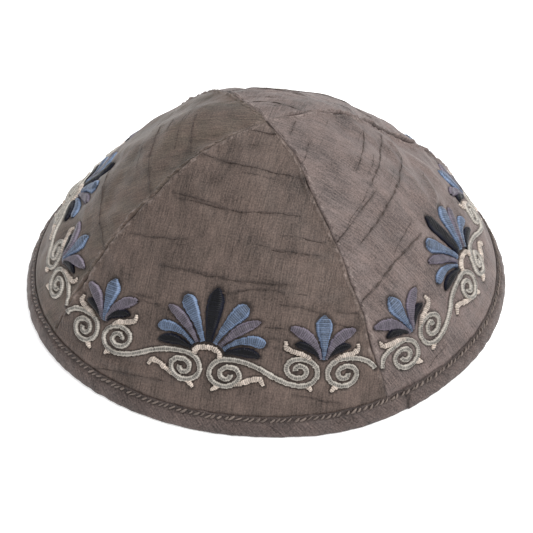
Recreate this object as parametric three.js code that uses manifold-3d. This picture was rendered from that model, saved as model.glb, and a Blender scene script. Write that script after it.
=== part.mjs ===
// A four-panel cloth skullcap with an embroidered border of palmettes and running scrolls.
// Four pointed panels are sewn into a dome, and a folded strip binds the rim that it rests on.
// Millimetres, +Z up. The origin is the middle of the rim, on the surface that the cap rests on.
// The front panel faces -Y, and an azimuth is counted from it towards +X.
import * as THREE from "three";
import Module from "manifold-3d";

// Sizes of the cap
const RIM_DIAMETER = 180; // outside the binding
const CROWN_HEIGHT = 72; // rim to the outside of the crown
const PANEL_WALL = 1.4; // shell cloth, interlining and backing together
const PANEL_FLATTENING = 1.9; // how far the middle of a panel lies inside its seams
const SEAM_PEAKING = 0.5; // share of the flattening by which the seams stand out of the dome
const DENT_DEPTH = 1.6;
const SEAM_CLEARANCE = 0.3; // between neighbouring panels
const BULGE_RISE = 1.5; // how far the rim stands out where it is least round
const BULGE_LIFT = 32; // up the wall to where a bulge has faded to a third

// Sizes of the binding strip
const BINDING_WIDTH = 7.2; // up the wall, outside and inside alike
const BINDING_THICKNESS = 1.0;
const BINDING_EDGE = 0.5; // thickness of the strip along its sewn edge
const BINDING_CLEARANCE = 0.3; // between the strip and the panels
const BINDING_ROUNDING = 0.8; // of the fold that rests on the surface
const LAP_HEIGHT = 0.45; // step where one end of the strip overlaps the other
const LAP_LENGTH = 16;

// Sizes of the embroidery, counted from the garland line, which joins the middles of the volutes
const GARLAND_LIFT = 21.6; // up the wall from the rim
const THREAD_CLEARANCE = 0.35; // between the panel and the stitching
const LAYER_STEP = 0.08; // how much higher a stroke lies than the one sewn before it
const SCROLL_WIDTH = 1.9;
const SCROLL_RELIEF = 0.8;
const VOLUTE_RADIUS = 5.2; // upwards, at mid-thread
const VOLUTE_SPREAD = 1.2; // a volute's width over its height
const VOLUTE_PLACE = 8.0; // axis of a motif to the middle of its volutes
const ACCENT_WIDTH = 1.7; // leaves, tails, spurs and arches in the pale thread
const PALMETTE_HEIGHT = 29.5;
const PALMETTE_REACH = 19.9; // axis to the tip of the widest petal
const PALMETTE_PETAL = 6.8; // width of the middle petal
const SPRIG_HEIGHT = 20;
const SPRIG_REACH = 11.9;
const SPRIG_PETAL = 6.2;
const SPRIG_DROP = 1.5; // how far the garland line comes down to a left sprig
const PETAL_RELIEF = 1.0;
const PETAL_CREST = 0.45; // flat of a petal's top, as a share of its width
const NARROW_PETAL = 0.6; // share of the middle petal's width below which a petal has no flat
const ARCH_REACH = 4.6; // half the span of the arch under a palmette
const ARCH_RISE = 2.2;
const ARCH_FOOT = 6.1; // garland line to the springing of the arch

// Shape of the crown
const RADIUS_POWER = 1.93; // 2 is a round plan of the curve, and less draws it to a point
const HEIGHT_POWER = 1.23; // 1 is a cone's side, and 2 a ball's
const LAP_AZIMUTH = THREE.MathUtils.degToRad(50);

const LAYERS = 5; // strokes sewn before the steps start again from the bottom

const PANELS = ["front", "right", "back", "left"];
const PANEL_ANGLE = (2 * Math.PI) / PANELS.length;
const HALF_PANEL = PANEL_ANGLE / 2;

// Dents in the cloth. across is a share of half a panel, up of the wall's length, depth of
// DENT_DEPTH, and wide and tall are shares of the panel's width and the wall's length.
const DENTS = [
  { panel: "front", across: -0.58, up: 0.61, depth: 0.7, wide: 0.1, tall: 0.1 },
  { panel: "front", across: 0.15, up: 0.4, depth: -0.45, wide: 0.3, tall: 0.16 },
  { panel: "right", across: 0.5, up: 0.55, depth: 0.8, wide: 0.08, tall: 0.16 },
  { panel: "right", across: -0.1, up: 0.68, depth: -0.5, wide: 0.16, tall: 0.14 },
  { panel: "right", across: 0.75, up: 0.6, depth: 0.8, wide: 0.2, tall: 0.2 },
  { panel: "left", across: 0.72, up: 0.79, depth: 1.0, wide: 0.12, tall: 0.12 },
  { panel: "left", across: 0.05, up: 0.66, depth: -0.8, wide: 0.14, tall: 0.12 },
  { panel: "left", across: -0.5, up: 0.55, depth: 0.8, wide: 0.2, tall: 0.2 },
  { panel: "back", across: 0.3, up: 0.6, depth: 0.6, wide: 0.14, tall: 0.14 },
];

// Where the rim is out of round. azimuth and turn, which is half the bulge, are in degrees, and
// share is of BULGE_RISE.
const BULGES = [
  { azimuth: -47, share: 0.87, turn: 24 },
  { azimuth: 34, share: 1, turn: 14 },
];

// Sprigs on the two halves of a panel. place is an azimuth as a share of half a panel, lean in
// degrees, and share is of SPRIG_DROP.
const SPRIGS = {
  right: { place: 0.67, lean: 11.5, share: 0.13 },
  left: { place: 0.695, lean: 13, share: 1 },
};

// Petals on one side of a motif's axis, the middle one first. across is a share of the motif's
// reach, up of its height, width of its middle petal's, bow of the petal's own length, and
// root the angle round the arch, in degrees, or round the point that a sprig springs from.
const PALMETTE_PETALS = [
  { thread: "navy", across: 0, up: 1, width: 1, bow: 0, root: 0 },
  { thread: "blue", across: 0.58, up: 0.855, width: 0.88, bow: 0.07, root: 18 },
  { thread: "mauve", across: 0.85, up: 0.675, width: 0.64, bow: 0.08, root: 36 },
  { thread: "blue", across: 1, up: 0.42, width: 0.72, bow: 0.12, root: 54 },
  { thread: "navy", across: 0.94, up: 0.275, width: 0.55, bow: 0.07, root: 70 },
];
const SPRIG_PETALS = [
  { thread: "blue", across: 0, up: 1, width: 1, bow: 0, root: 0 },
  { thread: "mauve", across: 1, up: 0.775, width: 0.72, bow: 0.11, root: 45 },
  { thread: "navy", across: 0.84, up: 0.53, width: 0.5, bow: 0.11, root: 75 },
];

// Half-width of a petal along its length, both as shares.
const PETAL_FORM = [
  { along: 0, width: 0.3 },
  { along: 0.42, width: 0.76 },
  { along: 0.74, width: 1 },
  { along: 0.92, width: 0.76 },
  { along: 1, width: 0.2 },
];

// Radius of a volute as it winds in, in turns from its start and as a share of VOLUTE_RADIUS.
const VOLUTE_FORM = [
  { turn: 0, radius: 1 },
  { turn: 0.25, radius: 1 },
  { turn: 0.5, radius: 0.84 },
  { turn: 0.75, radius: 0.72 },
  { turn: 1, radius: 0.47 },
  { turn: 1.25, radius: 0.39 },
  { turn: 1.5, radius: 0.35 },
  { turn: 1.75, radius: 0.22 },
];

// Pale accents, placed round a volute's middle. turn is in degrees, anticlockwise on a volute
// right of its motif's axis, reach a share of the volute's radius, or 0 on its outer turn, and
// width a share of ACCENT_WIDTH.
const LEAF = [
  { turn: 134, reach: 0, width: 0.6 },
  { turn: 104, reach: 1.18, width: 0.9 },
  { turn: 78, reach: 1.4, width: 0.9 },
  { turn: 67, reach: 1.8, width: 0.85 },
  { turn: 72, reach: 2.12, width: 0.5 },
];
const TAIL = [
  { turn: -62, reach: 0, width: 0.8 },
  { turn: -28, reach: 1.04, width: 1 },
  { turn: -8, reach: 1.4, width: 1 },
  { turn: -5, reach: 1.8, width: 1 },
  { turn: -15, reach: 2.12, width: 0.6 },
];
const SPUR = [
  { turn: 242, reach: 0, width: 1 },
  { turn: 228, reach: 1.46, width: 0.5 },
];

// Fineness of the facets
const PANEL_COLUMNS = 10;
const PANEL_ROWS = 10;
const TURN_STEPS = 9; // of a volute
const SLIVER = 0.02; // a facet that stands off its neighbours by less is merged with them
const RIM_STATIONS = PANEL_COLUMNS * PANELS.length;

const CLOTH = { color: 0x6b5f5a, roughness: 0.75, metalness: 0 };
const STRIP = { color: 0x5f5551, roughness: 0.8, metalness: 0 };
const SCROLL_THREAD = { color: 0x9d978d, roughness: 0.6, metalness: 0 };
const PALE_THREAD = { color: 0xd8ccb8, roughness: 0.6, metalness: 0 };
const PETAL_THREAD = { color: 0x6f8fb4, roughness: 0.55, metalness: 0 };

const UP = new THREE.Vector3(0, 0, 1);

const wasm = await Module();
wasm.setup();

// The wall's own line, from the rim up to the crown, as a list that can be read at any lift.
function wallLine(radius, height, steps = 600) {
  const line = [];
  for (let i = 0; i <= steps; i++) {
    const turn = ((i / steps) * Math.PI) / 2;
    const point = new THREE.Vector2(
      radius * Math.cos(turn) ** (2 / RADIUS_POWER),
      height * Math.sin(turn) ** (2 / HEIGHT_POWER),
    );
    const before = line[line.length - 1];
    const lift = before ? before.lift + before.point.distanceTo(point) : 0;
    line.push({ lift, point });
  }
  return line;
}

const PANEL_RADIUS = RIM_DIAMETER / 2 - BINDING_THICKNESS - BINDING_CLEARANCE;
const WALL = wallLine(PANEL_RADIUS, CROWN_HEIGHT);
const WALL_LENGTH = WALL[WALL.length - 1].lift;

// Radius, height and outward normal of the wall's line at a lift.
function wallAt(lift) {
  let low = 0;
  let high = WALL.length - 1;
  while (high - low > 1) {
    const middle = (low + high) >> 1;
    if (WALL[middle].lift <= lift) low = middle;
    else high = middle;
  }
  const from = WALL[low];
  const to = WALL[high];
  const share = (lift - from.lift) / (to.lift - from.lift);
  const along = to.point.clone().sub(from.point).normalize();
  return {
    radius: THREE.MathUtils.lerp(from.point.x, to.point.x, share),
    height: THREE.MathUtils.lerp(from.point.y, to.point.y, share),
    out: along.y,
    up: -along.x,
  };
}

// How far the cloth lies outside the wall's line, at an azimuth from the panel's own middle.
function clothRelief(panel, azimuth, lift) {
  const across = azimuth / HALF_PANEL;
  const up = lift / WALL_LENGTH;
  const arc = Math.sin(Math.PI * THREE.MathUtils.clamp(up, 0, 1));
  let relief = PANEL_FLATTENING * arc * (across * across - 1 + SEAM_PEAKING);
  for (const dent of DENTS.filter((row) => row.panel === panel)) {
    const sideways = (across - dent.across) / (2 * dent.wide);
    const upwards = (up - dent.up) / dent.tall;
    relief -= DENT_DEPTH * dent.depth * Math.exp(-(sideways ** 2 + upwards ** 2));
  }
  const round = THREE.MathUtils.radToDeg(azimuth + PANELS.indexOf(panel) * PANEL_ANGLE);
  for (const bulge of BULGES) {
    const away = THREE.MathUtils.euclideanModulo(round - bulge.azimuth + 180, 360) - 180;
    const faded = (away / bulge.turn) ** 2 + (lift / BULGE_LIFT) ** 2;
    relief += BULGE_RISE * bulge.share * Math.exp(-faded);
  }
  return relief;
}

// A point of a panel, in that panel's frame, where the panel's middle faces -Y.
function onPanel(panel, azimuth, lift, offset) {
  const wall = wallAt(lift);
  const stand = clothRelief(panel, azimuth, lift) + offset;
  const radius = wall.radius + stand * wall.out;
  return new THREE.Vector3(
    radius * Math.sin(azimuth),
    -radius * Math.cos(azimuth),
    wall.height + stand * wall.up,
  );
}

// A closed body through sections of equal counts of points, as a manifold.
// The sections are joined in a ring, or the first and last are capped.
function loft(sections, ring = false) {
  const count = sections[0].length;
  const vertProperties = new Float32Array(
    sections.flat().flatMap((point) => [point.x, point.y, point.z]),
  );
  const triangles = [];
  const joints = ring ? sections.length : sections.length - 1;
  for (let i = 0; i < joints; i++) {
    const here = i * count;
    const next = ((i + 1) % sections.length) * count;
    for (let j = 0; j < count; j++) {
      const k = (j + 1) % count;
      triangles.push(here + j, here + k, next + k);
      triangles.push(here + j, next + k, next + j);
    }
  }
  if (!ring) {
    const last = (sections.length - 1) * count;
    for (let j = 1; j < count - 1; j++) {
      triangles.push(0, j + 1, j);
      triangles.push(last, last + j, last + j + 1);
    }
  }
  return new wasm.Manifold(
    new wasm.Mesh({ numProp: 3, vertProperties, triVerts: new Uint32Array(triangles) }),
  );
}

// A pointed panel with its wall's thickness. Its two sides stay clear of the neighbours.
function panelSolid(panel) {
  const lowest = BINDING_THICKNESS + BINDING_CLEARANCE;
  const tipRadius = SEAM_CLEARANCE / Math.sin(HALF_PANEL);
  let highest = WALL_LENGTH;
  while (wallAt(highest).radius < tipRadius) highest -= SEAM_CLEARANCE / 10;
  const points = [];
  const rowOf = (lift, columns) => {
    const beside = Math.asin(SEAM_CLEARANCE / 2 / wallAt(lift).radius);
    const half = HALF_PANEL - beside;
    return Array.from({ length: columns + 1 }, (_, j) =>
      columns ? half * ((2 * j) / columns - 1) : 0,
    );
  };
  for (const offset of [0, -PANEL_WALL]) {
    for (let i = 0; i <= PANEL_ROWS; i++) {
      const share = (i - 1) / (PANEL_ROWS - 1);
      const lift = i ? THREE.MathUtils.lerp(BINDING_WIDTH, highest, share) : lowest;
      for (const azimuth of rowOf(lift, i < PANEL_ROWS ? PANEL_COLUMNS : 0))
        points.push(onPanel(panel, azimuth, lift, offset));
    }
  }
  const width = PANEL_COLUMNS + 1;
  const side = PANEL_ROWS * width + 1; // points of one face, its tip the last
  const at = (face, i, j) => face * side + (i < PANEL_ROWS ? i * width + j : side - 1);
  const triangles = [];
  const add = (a, b, c) => {
    if (a !== b && b !== c && a !== c) triangles.push(a, b, c);
  };
  for (let i = 0; i < PANEL_ROWS; i++) {
    for (let j = 0; j < PANEL_COLUMNS; j++) {
      add(at(0, i, j), at(0, i, j + 1), at(0, i + 1, j + 1));
      add(at(0, i, j), at(0, i + 1, j + 1), at(0, i + 1, j));
      add(at(1, i, j), at(1, i + 1, j + 1), at(1, i, j + 1));
      add(at(1, i, j), at(1, i + 1, j), at(1, i + 1, j + 1));
    }
    add(at(0, i, 0), at(0, i + 1, 0), at(1, i + 1, 0));
    add(at(0, i, 0), at(1, i + 1, 0), at(1, i, 0));
    add(at(0, i, PANEL_COLUMNS), at(1, i + 1, PANEL_COLUMNS), at(0, i + 1, PANEL_COLUMNS));
    add(at(0, i, PANEL_COLUMNS), at(1, i, PANEL_COLUMNS), at(1, i + 1, PANEL_COLUMNS));
  }
  for (let j = 0; j < PANEL_COLUMNS; j++) {
    add(at(0, 0, j), at(1, 0, j), at(1, 0, j + 1));
    add(at(0, 0, j), at(1, 0, j + 1), at(0, 0, j + 1));
  }
  return new wasm.Manifold(
    new wasm.Mesh({
      numProp: 3,
      vertProperties: new Float32Array(points.flatMap((p) => [p.x, p.y, p.z])),
      triVerts: new Uint32Array(triangles),
    }),
  );
}

// How far the outside of the binding is raised where its free end laps over the other end.
function lapRise(azimuth) {
  const run = (azimuth - LAP_AZIMUTH) * PANEL_RADIUS;
  return run < 0 || run > LAP_LENGTH ? 0 : LAP_HEIGHT * (1 - run / LAP_LENGTH);
}

// The folded strip round the rim, a channel that the lower edges of the panels stand in.
function bindingSolid() {
  const inside = -PANEL_WALL - BINDING_CLEARANCE;
  const outside = BINDING_CLEARANCE;
  const innerFace = inside - BINDING_THICKNESS;
  const seat = BINDING_THICKNESS;
  const section = (azimuth) => {
    const outerFace = outside + BINDING_THICKNESS + lapRise(azimuth);
    const profile = [
      { lift: BINDING_WIDTH, offset: outside },
      { lift: BINDING_WIDTH, offset: outside + BINDING_EDGE },
      { lift: BINDING_WIDTH * 0.75, offset: outerFace },
      { lift: BINDING_ROUNDING, offset: outerFace },
      { lift: 0, offset: outerFace - BINDING_ROUNDING },
      { lift: 0, offset: innerFace + BINDING_ROUNDING },
      { lift: BINDING_ROUNDING, offset: innerFace },
      { lift: BINDING_WIDTH * 0.75, offset: innerFace },
      { lift: BINDING_WIDTH, offset: inside - BINDING_EDGE },
      { lift: BINDING_WIDTH, offset: inside },
      { lift: seat, offset: inside },
      { lift: seat, offset: outside },
    ];
    const index = Math.round(azimuth / PANEL_ANGLE);
    const aside = azimuth - index * PANEL_ANGLE;
    return profile.map(({ lift, offset }) => {
      const point = onPanel(PANELS[index % PANELS.length], aside, lift, offset);
      if (lift <= BINDING_ROUNDING) point.z = lift;
      return point.applyAxisAngle(UP, index * PANEL_ANGLE);
    });
  };
  const stations = Array.from(
    { length: RIM_STATIONS },
    (_, i) => (i / RIM_STATIONS) * 2 * Math.PI,
  );
  const step = SEAM_CLEARANCE / PANEL_RADIUS;
  stations.push(LAP_AZIMUTH, LAP_AZIMUTH - step, LAP_AZIMUTH + LAP_LENGTH / PANEL_RADIUS);
  stations.sort((a, b) => a - b);
  return loft(stations.map(section), true);
}

// A raised stroke of stitching along a path on a panel, flat under and ridged on top. crest is
// the width of the ridge as a share of the stroke's, and 0 draws it to an edge. A stroke that
// is sewn later lies a little higher on those that it crosses.
function stroke(panel, path, relief, crest = 0, order = 0) {
  const base = THREAD_CLEARANCE + LAYER_STEP * (order % LAYERS);
  const sections = path.map((point, i) => {
    const before = path[Math.max(i - 1, 0)];
    const after = path[Math.min(i + 1, path.length - 1)];
    const radius = wallAt(point.lift).radius;
    const along = new THREE.Vector2(
      (after.azimuth - before.azimuth) * radius,
      after.lift - before.lift,
    ).normalize();
    const corner = (share, offset) =>
      onPanel(
        panel,
        point.azimuth - (along.y * share * point.width) / 2 / radius,
        point.lift + (along.x * share * point.width) / 2,
        base + offset,
      );
    const top = crest ? [corner(crest, relief), corner(-crest, relief)] : [corner(0, relief)];
    return [...top, corner(-1, 0), corner(1, 0)];
  });
  return loft(sections);
}

// A motif's own frame: x from its axis and y from the garland line, turned by its lean.
function motifFrame(azimuth, lean, drop = 0) {
  return (x, y, width) => {
    const lift = GARLAND_LIFT - drop - x * Math.sin(lean) + y * Math.cos(lean);
    const aside = x * Math.cos(lean) + y * Math.sin(lean);
    return { azimuth: azimuth + aside / wallAt(lift).radius, lift, width };
  };
}

const PALMETTE_FRAME = motifFrame(0, 0);

// A sprig on the right (1) or left (-1) half of a panel, laid out as if it were on the right.
function sprigOn(side) {
  const row = side > 0 ? SPRIGS.right : SPRIGS.left;
  const lean = THREE.MathUtils.degToRad(row.lean);
  const azimuth = row.place * HALF_PANEL;
  const drop = row.share * SPRIG_DROP;
  return { azimuth, lean, drop, frame: motifFrame(azimuth, lean, drop) };
}

// A path that was laid out on a panel's right half, on its right (1) or left (-1) half.
function mirrored(path, side) {
  return path.map((point) => ({ ...point, azimuth: side * point.azimuth }));
}

// A value of a table at a place, on a smooth curve through its rows.
function readForm(rows, key, place, value) {
  const curve = new THREE.SplineCurve(rows.map((row) => new THREE.Vector2(row[key], row[value])));
  const next = rows.findIndex((row) => row[key] > place);
  const high = next < 0 ? rows.length - 1 : Math.max(next, 1);
  const span = rows[high][key] - rows[high - 1][key];
  const share = THREE.MathUtils.clamp((place - rows[high - 1][key]) / span, 0, 1);
  return curve.getPoint((high - 1 + share) / (rows.length - 1)).y;
}

// A volute wound anticlockwise from a start angle in degrees, on the right (1) or left (-1) of
// its motif's axis.
class Volute {
  constructor(frame, hand, start) {
    this.frame = frame;
    this.middle = hand * VOLUTE_PLACE;
    this.start = start;
  }

  radiusAt(angle) {
    return VOLUTE_RADIUS * readForm(VOLUTE_FORM, "turn", (angle - this.start) / 360, "radius");
  }

  at(angle, radius, width) {
    const turn = THREE.MathUtils.degToRad(angle);
    const x = this.middle + radius * VOLUTE_SPREAD * Math.cos(turn);
    return this.frame(x, radius * Math.sin(turn), width);
  }

  path() {
    const turns = VOLUTE_FORM[VOLUTE_FORM.length - 1].turn;
    const steps = Math.round(turns * TURN_STEPS);
    return Array.from({ length: steps + 1 }, (_, i) => {
      const angle = this.start + (360 * turns * i) / steps;
      return this.at(angle, this.radiusAt(angle), SCROLL_WIDTH);
    });
  }

  accent(rows, mirror = 1) {
    return rows.map(({ turn, reach, width }) => {
      const angle = mirror > 0 ? turn : 180 - turn;
      const wound = this.start + THREE.MathUtils.euclideanModulo(angle - this.start, 360);
      const radius = reach > 0 ? reach * VOLUTE_RADIUS : this.radiusAt(wound);
      return this.at(angle, radius, width * ACCENT_WIDTH);
    });
  }
}

// A curve from one scroll point to another that leaves and arrives along given directions.
function bridge(from, leave, to, arrive, steps) {
  const flat = (point) =>
    new THREE.Vector2(point.azimuth * wallAt(GARLAND_LIFT).radius, point.lift);
  const start = flat(from);
  const end = flat(to);
  const curve = new THREE.CubicBezierCurve(
    start,
    start.clone().add(leave),
    end.clone().sub(arrive),
    end,
  );
  return curve.getPoints(steps).slice(1, -1).map(({ x, y }) => ({
    azimuth: x / wallAt(GARLAND_LIFT).radius,
    lift: y,
    width: SCROLL_WIDTH,
  }));
}

// The scroll that runs from a palmette's volute to the near volute of the sprig beside it.
function waveScroll(panel, side) {
  const sprig = sprigOn(side);
  const first = new Volute(PALMETTE_FRAME, 1, 90);
  const second = new Volute(sprig.frame, -1, 270);
  const outward = first.path().reverse();
  const inward = second.path();
  const span = sprig.azimuth * wallAt(GARLAND_LIFT).radius - 2 * VOLUTE_PLACE;
  const leave = new THREE.Vector2(span * 0.48, 0);
  const arrive = new THREE.Vector2(Math.cos(sprig.lean), -Math.sin(sprig.lean));
  arrive.multiplyScalar(span * 0.38);
  const between = bridge(outward[outward.length - 1], leave, inward[0], arrive, 6);
  const scroll = [...outward, ...between, ...inward];
  const strokes = [scroll, first.accent(TAIL), first.accent(SPUR)];
  strokes.push(second.accent(LEAF, -1), second.accent(SPUR, -1));
  return fused(panel, strokes, side);
}

// The scroll of the sprig's far volute, whose arm comes down to the seam.
function endScroll(panel, side) {
  const sprig = sprigOn(side);
  const volute = new Volute(sprig.frame, 1, 90);
  const wound = volute.path();
  const beside = (SEAM_CLEARANCE + SCROLL_WIDTH / 2) / wallAt(GARLAND_LIFT).radius;
  const foot = {
    azimuth: HALF_PANEL - beside,
    lift: GARLAND_LIFT - sprig.drop - VOLUTE_RADIUS / 2,
    width: SCROLL_WIDTH,
  };
  const rise = new THREE.Vector2(-0.3 * VOLUTE_RADIUS, 0.8 * VOLUTE_RADIUS);
  const over = new THREE.Vector2(-Math.cos(sprig.lean), Math.sin(sprig.lean));
  over.multiplyScalar(0.9 * VOLUTE_RADIUS);
  const arm = [foot, ...bridge(foot, rise, wound[0], over, 5), ...wound];
  return fused(panel, [arm, volute.accent(LEAF), volute.accent(SPUR)], side);
}

// Several strokes joined into one body.
function fused(panel, strokes, side) {
  const solids = strokes.map((path, order) =>
    stroke(panel, mirrored(path, side), SCROLL_RELIEF, 0, order),
  );
  return wasm.Manifold.union(solids).simplify(SLIVER);
}

// The pale arch that stands over the gap between a palmette's volutes.
function archSolid(panel) {
  const steps = 7;
  const path = Array.from({ length: steps + 1 }, (_, i) => {
    const turn = Math.PI * (1 - i / steps);
    const width = ACCENT_WIDTH * (i % steps ? 1 : 0.6);
    const x = ARCH_REACH * Math.cos(turn);
    return PALMETTE_FRAME(x, ARCH_FOOT + ARCH_RISE * Math.sin(turn), width);
  });
  return stroke(panel, path, SCROLL_RELIEF);
}

// A petal from its root to its tip, bowed away from the motif's axis.
function petalPath(frame, root, tip, bow, width) {
  const middle = root.clone().lerp(tip, 0.55);
  const span = tip.clone().sub(root);
  const side = new THREE.Vector2(-span.y, span.x).multiplyScalar(Math.sign(tip.x) * bow * 2);
  const curve = new THREE.QuadraticBezierCurve(root, middle.add(side), tip);
  return PETAL_FORM.map((row) => {
    const point = curve.getPoint(row.along);
    return frame(point.x, point.y, width * row.width);
  });
}

// A fan of petals that meet at their roots, as one body.
function fanSolid(panel, petals, fan, frame, side = 1) {
  const solids = [];
  for (const petal of petals) {
    for (const hand of petal.across ? [1, -1] : [1]) {
      const turn = THREE.MathUtils.degToRad(petal.root);
      const root = new THREE.Vector2(
        hand * fan.rootReach * Math.sin(turn),
        fan.rootFoot + fan.rootRise * Math.cos(turn),
      );
      const tip = new THREE.Vector2(hand * petal.across * fan.reach, petal.up * fan.height);
      const width = petal.width * fan.petal;
      const path = petalPath(frame, root, tip, petal.bow, width);
      path[0].width = Math.max(path[0].width, fan.rootWidth);
      const crest = petal.width > NARROW_PETAL ? PETAL_CREST : 0;
      solids.push(stroke(panel, mirrored(path, side), PETAL_RELIEF, crest, solids.length));
    }
  }
  return wasm.Manifold.union(solids).simplify(SLIVER);
}

const PALMETTE_FAN = {
  height: PALMETTE_HEIGHT,
  reach: PALMETTE_REACH,
  petal: PALMETTE_PETAL,
  rootReach: ARCH_REACH + ACCENT_WIDTH,
  rootRise: ARCH_RISE + ACCENT_WIDTH * 0.75,
  rootFoot: ARCH_FOOT + ACCENT_WIDTH / 3,
  rootWidth: 2.4,
};
const SPRIG_FAN = {
  height: SPRIG_HEIGHT,
  reach: SPRIG_REACH,
  petal: SPRIG_PETAL,
  rootReach: 1.2,
  rootRise: -0.6,
  rootFoot: VOLUTE_RADIUS,
  rootWidth: 1.5,
};

// A manifold as a named mesh with a material of its own.
function meshOf(name, solid, finish) {
  const made = solid.getMesh();
  const positions = [];
  for (let i = 0; i < made.numVert; i++) {
    const from = i * made.numProp;
    positions.push(...made.vertProperties.subarray(from, from + 3));
  }
  const geometry = new THREE.BufferGeometry();
  geometry.setAttribute("position", new THREE.Float32BufferAttribute(positions, 3));
  geometry.setIndex([...made.triVerts]);
  const mesh = new THREE.Mesh(geometry, new THREE.MeshStandardMaterial(finish));
  mesh.name = name;
  return mesh;
}

const cap = new THREE.Group();
cap.name = "skullcap";
cap.add(meshOf("rim_binding", bindingSolid(), STRIP));
PANELS.forEach((panel, index) => {
  const group = new THREE.Group();
  group.rotation.z = index * PANEL_ANGLE;
  group.add(meshOf(`panel_${panel}`, panelSolid(panel), CLOTH));
  const palmette = fanSolid(panel, PALMETTE_PETALS, PALMETTE_FAN, PALMETTE_FRAME);
  group.add(meshOf(`palmette_${panel}`, palmette, PETAL_THREAD));
  group.add(meshOf(`arch_${panel}`, archSolid(panel), PALE_THREAD));
  for (const [hand, side] of [["right", 1], ["left", -1]]) {
    const place = `${panel}_${hand}`;
    const sprig = fanSolid(panel, SPRIG_PETALS, SPRIG_FAN, sprigOn(side).frame, side);
    group.add(meshOf(`sprig_${place}`, sprig, PETAL_THREAD));
    group.add(meshOf(`wave_scroll_${place}`, waveScroll(panel, side), SCROLL_THREAD));
    group.add(meshOf(`end_scroll_${place}`, endScroll(panel, side), SCROLL_THREAD));
  }
  cap.add(group);
});

export default cap;
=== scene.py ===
"""Looks of a four-panel embroidered skullcap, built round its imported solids.

The cap's sizes are in millimetres until its meshes are made, and the studio's are in metres. The
front panel faces -Y, an azimuth is counted from it towards +X, and a lift is a length up the wall
from the rim.
"""

import logging
import math
from dataclasses import dataclass, field
from enum import Enum, IntEnum

import bpy
import numpy as np
from mathutils import Matrix, Vector

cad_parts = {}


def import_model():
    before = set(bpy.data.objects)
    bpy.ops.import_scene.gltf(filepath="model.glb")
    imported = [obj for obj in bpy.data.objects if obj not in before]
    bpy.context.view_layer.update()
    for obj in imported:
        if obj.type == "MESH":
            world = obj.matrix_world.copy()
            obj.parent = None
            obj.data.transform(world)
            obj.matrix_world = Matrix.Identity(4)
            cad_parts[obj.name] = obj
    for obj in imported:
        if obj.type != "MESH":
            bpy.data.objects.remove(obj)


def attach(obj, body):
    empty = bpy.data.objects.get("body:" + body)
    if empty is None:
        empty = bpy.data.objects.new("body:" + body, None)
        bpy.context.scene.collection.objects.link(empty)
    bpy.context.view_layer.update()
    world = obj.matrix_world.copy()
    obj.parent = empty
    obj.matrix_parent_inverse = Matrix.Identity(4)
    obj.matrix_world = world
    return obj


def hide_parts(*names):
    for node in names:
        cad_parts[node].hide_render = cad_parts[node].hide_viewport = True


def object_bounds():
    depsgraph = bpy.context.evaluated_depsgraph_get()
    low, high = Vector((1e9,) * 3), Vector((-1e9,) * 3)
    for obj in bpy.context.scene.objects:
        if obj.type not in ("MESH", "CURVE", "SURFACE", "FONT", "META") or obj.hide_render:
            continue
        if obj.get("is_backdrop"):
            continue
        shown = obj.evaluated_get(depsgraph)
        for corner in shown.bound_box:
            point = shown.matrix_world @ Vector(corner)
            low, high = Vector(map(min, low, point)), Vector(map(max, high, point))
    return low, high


log = logging.getLogger("skullcap")

Array = np.ndarray
Colour = tuple[float, float, float]
# A small table of numbers, row by row.
Rows = tuple[tuple[float, ...], ...]
Material = bpy.types.Material
Socket = bpy.types.NodeSocket

MILLIMETRE = 0.001
QUARTER = math.pi / 2
HALF_PANEL = QUARTER / 2
# Turns an azimuth beside a seam into a length, for the unevenness along the seam.
SEAM_RADIUS = 60.0
# Thickness of a slub that has its full ridge and shade.
FULL_SLUB = 0.5


class Side(Enum):
    """The four panels, in the order in which they stand round the cap."""

    FRONT = 0
    RIGHT = 1
    BACK = 2
    LEFT = 3

    @property
    def label(self) -> str:
        """The panel's word in the names of its nodes."""
        return self.name.lower()


class Thread(Enum):
    """The embroidery threads."""

    NAVY = "navy"
    BLUE = "blue"
    MAUVE = "mauve"
    SCROLL = "scroll"
    PALE = "pale"


class Hand(Enum):
    """The two halves of a panel, with the sign of their azimuths."""

    RIGHT = 1
    LEFT = -1


class Seed(IntEnum):
    """Seeds of everything uneven, so that each run gives the same cap."""

    BINDING_WRINKLES = 5
    BINDING_EDGE = 6
    SLUB_WAVER = 11
    SLOW_WAVE = 31
    SEAM_PATCHES = 51
    SEAM_SPECKS = 53
    SLUB_SPOTS = 61
    QUICK_WAVE = 71
    BINDING_STITCHES = 88
    SEAM_WAVER = 91
    SEAM_PUCKER = 97
    SHORT_SLUBS = 400
    SEWING = 1000


def screen(red: int, green: int, blue: int) -> Colour:
    """Turns a screen colour of 0 to 255 into the linear colour that shaders take.

    Args:
        red: Red part.
        green: Green part.
        blue: Blue part.

    Returns:
        The linear red, green and blue.
    """
    linear = []
    for part in (red, green, blue):
        share = part / 255
        linear.append(share / 12.92 if share <= 0.04045 else ((share + 0.055) / 1.055) ** 2.4)
    return linear[0], linear[1], linear[2]


def smooth_step(value: Array, low: float, high: float) -> Array:
    """A smooth rise from 0 at low to 1 at high."""
    share = np.clip((value - low) / (high - low), 0.0, 1.0)
    return share * share * (3.0 - 2.0 * share)


def bell(value: Array, width: float) -> Array:
    """A bell of height 1 at 0."""
    return np.exp(-((value / width) ** 2))


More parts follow.
